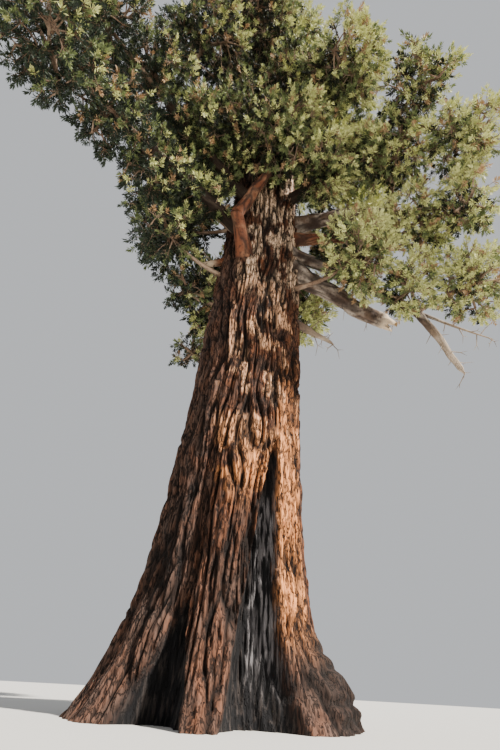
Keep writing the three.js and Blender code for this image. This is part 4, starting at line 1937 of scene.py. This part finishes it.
    def _part(self, mass: Mass) -> str:
        """Name the part of the crown that a mass belongs to.

        Args:
            mass: The mass.

        Returns:
            The name.
        """
        if mass.number < self.front_count:
            return "left" if mass.heart[0] < 0 else "right"
        return "back" if "_back_" in mass.name else "top"

    def build(self) -> None:
        """Grow every mass and the leafy limbs, part by part, and join each part into a few pieces."""
        shapes = self.tufts.kites()
        needles = {
            tint: NeedleFinish("needles_" + tint.name.lower(), *map(colour, tint.value)).material()
            for tint in Tint
        }
        bark = LimbFinish("twig_bark", colour("77604f"), colour("a58d78")).material()
        for part in ("left", "right", "back", "top"):
            members = [mass for mass in self.masses if self._part(mass) == part]
            leafage = Leafage(part, shapes)
            for mass in members:
                self._grow(mass, leafage)
            for limb in self.limbs.limbs:
                if limb.leafy and part == ("left" if limb.tip[0] < 0 else "right"):
                    self._clothe(limb, leafage)
            leafage.build([mass.name for mass in members], bark, needles)


# The stage


@dataclass
class Stage:
    """The pale floor, the soft light and the camera."""

    floor_radius: float = 90.0
    camera_place: Three = (0.5, -12.5, 0.625)
    pitch: float = 37.07
    roll: float = 3.2
    lens: float = 20.0
    sun_bearing: float = -36.0
    sun_height: float = 43.0
    sun_strength: float = 13.0
    sun_angle: float = 2.5
    sky_strength: float = 0.68
    sun_colour: Three = (1.0, 0.95, 0.86)
    sky_colour: Colour = colour("f0f3f7")
    floor_colour: Colour = colour("c6c4c0")
    floor_roughness: float = 0.9
    floor_sides: int = 96

    def build(self) -> None:
        """Make the floor, the light and the camera."""
        self._floor()
        self._light()
        self._camera()

    def _floor(self) -> None:
        """Lay the floor at ground level."""
        shape = bmesh.new()
        bmesh.ops.create_circle(shape, cap_ends=True, segments=self.floor_sides, radius=self.floor_radius)
        mesh = bpy.data.meshes.new("floor")
        shape.to_mesh(mesh)
        shape.free()
        floor = bpy.data.objects.new("floor", mesh)
        bpy.context.scene.collection.objects.link(floor)
        finish = Finish("floor_pale")
        finish.shader.inputs["Base Color"].default_value = self.floor_colour
        finish.shader.inputs["Roughness"].default_value = self.floor_roughness
        mesh.materials.append(finish.material)
        floor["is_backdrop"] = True

    def _light(self) -> None:
        """Light the tree softly from the right in front, high up, and evenly from the sky."""
        world = bpy.data.worlds.new("studio")
        world.use_nodes = True
        background = world.node_tree.nodes["Background"]
        background.inputs["Color"].default_value = self.sky_colour
        background.inputs["Strength"].default_value = self.sky_strength
        bpy.context.scene.world = world
        light = bpy.data.lights.new("key", "SUN")
        light.energy = self.sun_strength
        light.angle = math.radians(self.sun_angle)
        light.color = self.sun_colour
        key = bpy.data.objects.new("key", light)
        bpy.context.scene.collection.objects.link(key)
        height, bearing = math.radians(self.sun_height), math.radians(self.sun_bearing)
        level = math.cos(height)
        towards = Vector((level * math.cos(bearing), level * math.sin(bearing), math.sin(height)))
        key.rotation_euler = towards.to_track_quat("Z", "Y").to_euler()

    def _camera(self) -> None:
        """Set the camera low in front of the tree, looking up, with a slight roll."""
        camera = bpy.data.objects.new("camera", bpy.data.cameras.new("camera"))
        bpy.context.scene.collection.objects.link(camera)
        camera.data.lens = self.lens
        camera.data.clip_end = 4 * self.floor_radius
        pitch = Matrix.Rotation(math.radians(90 + self.pitch), 4, "X")
        roll = Matrix.Rotation(math.radians(self.roll), 4, "Z")
        camera.matrix_world = Matrix.Translation(self.camera_place) @ pitch @ roll
        bpy.context.scene.camera = camera


def main() -> None:
    """Build the tree and its stage."""
    logging.basicConfig(level=logging.INFO, format="%(message)s")
    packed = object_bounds()
    trunk = Trunk()
    limbs = Limbs(trunk)
    trunk.build()
    limbs.build()
    Crown(trunk, limbs, *map(np.array, packed)).build()
    Stage().build()


if __name__ == "__main__":
    main()
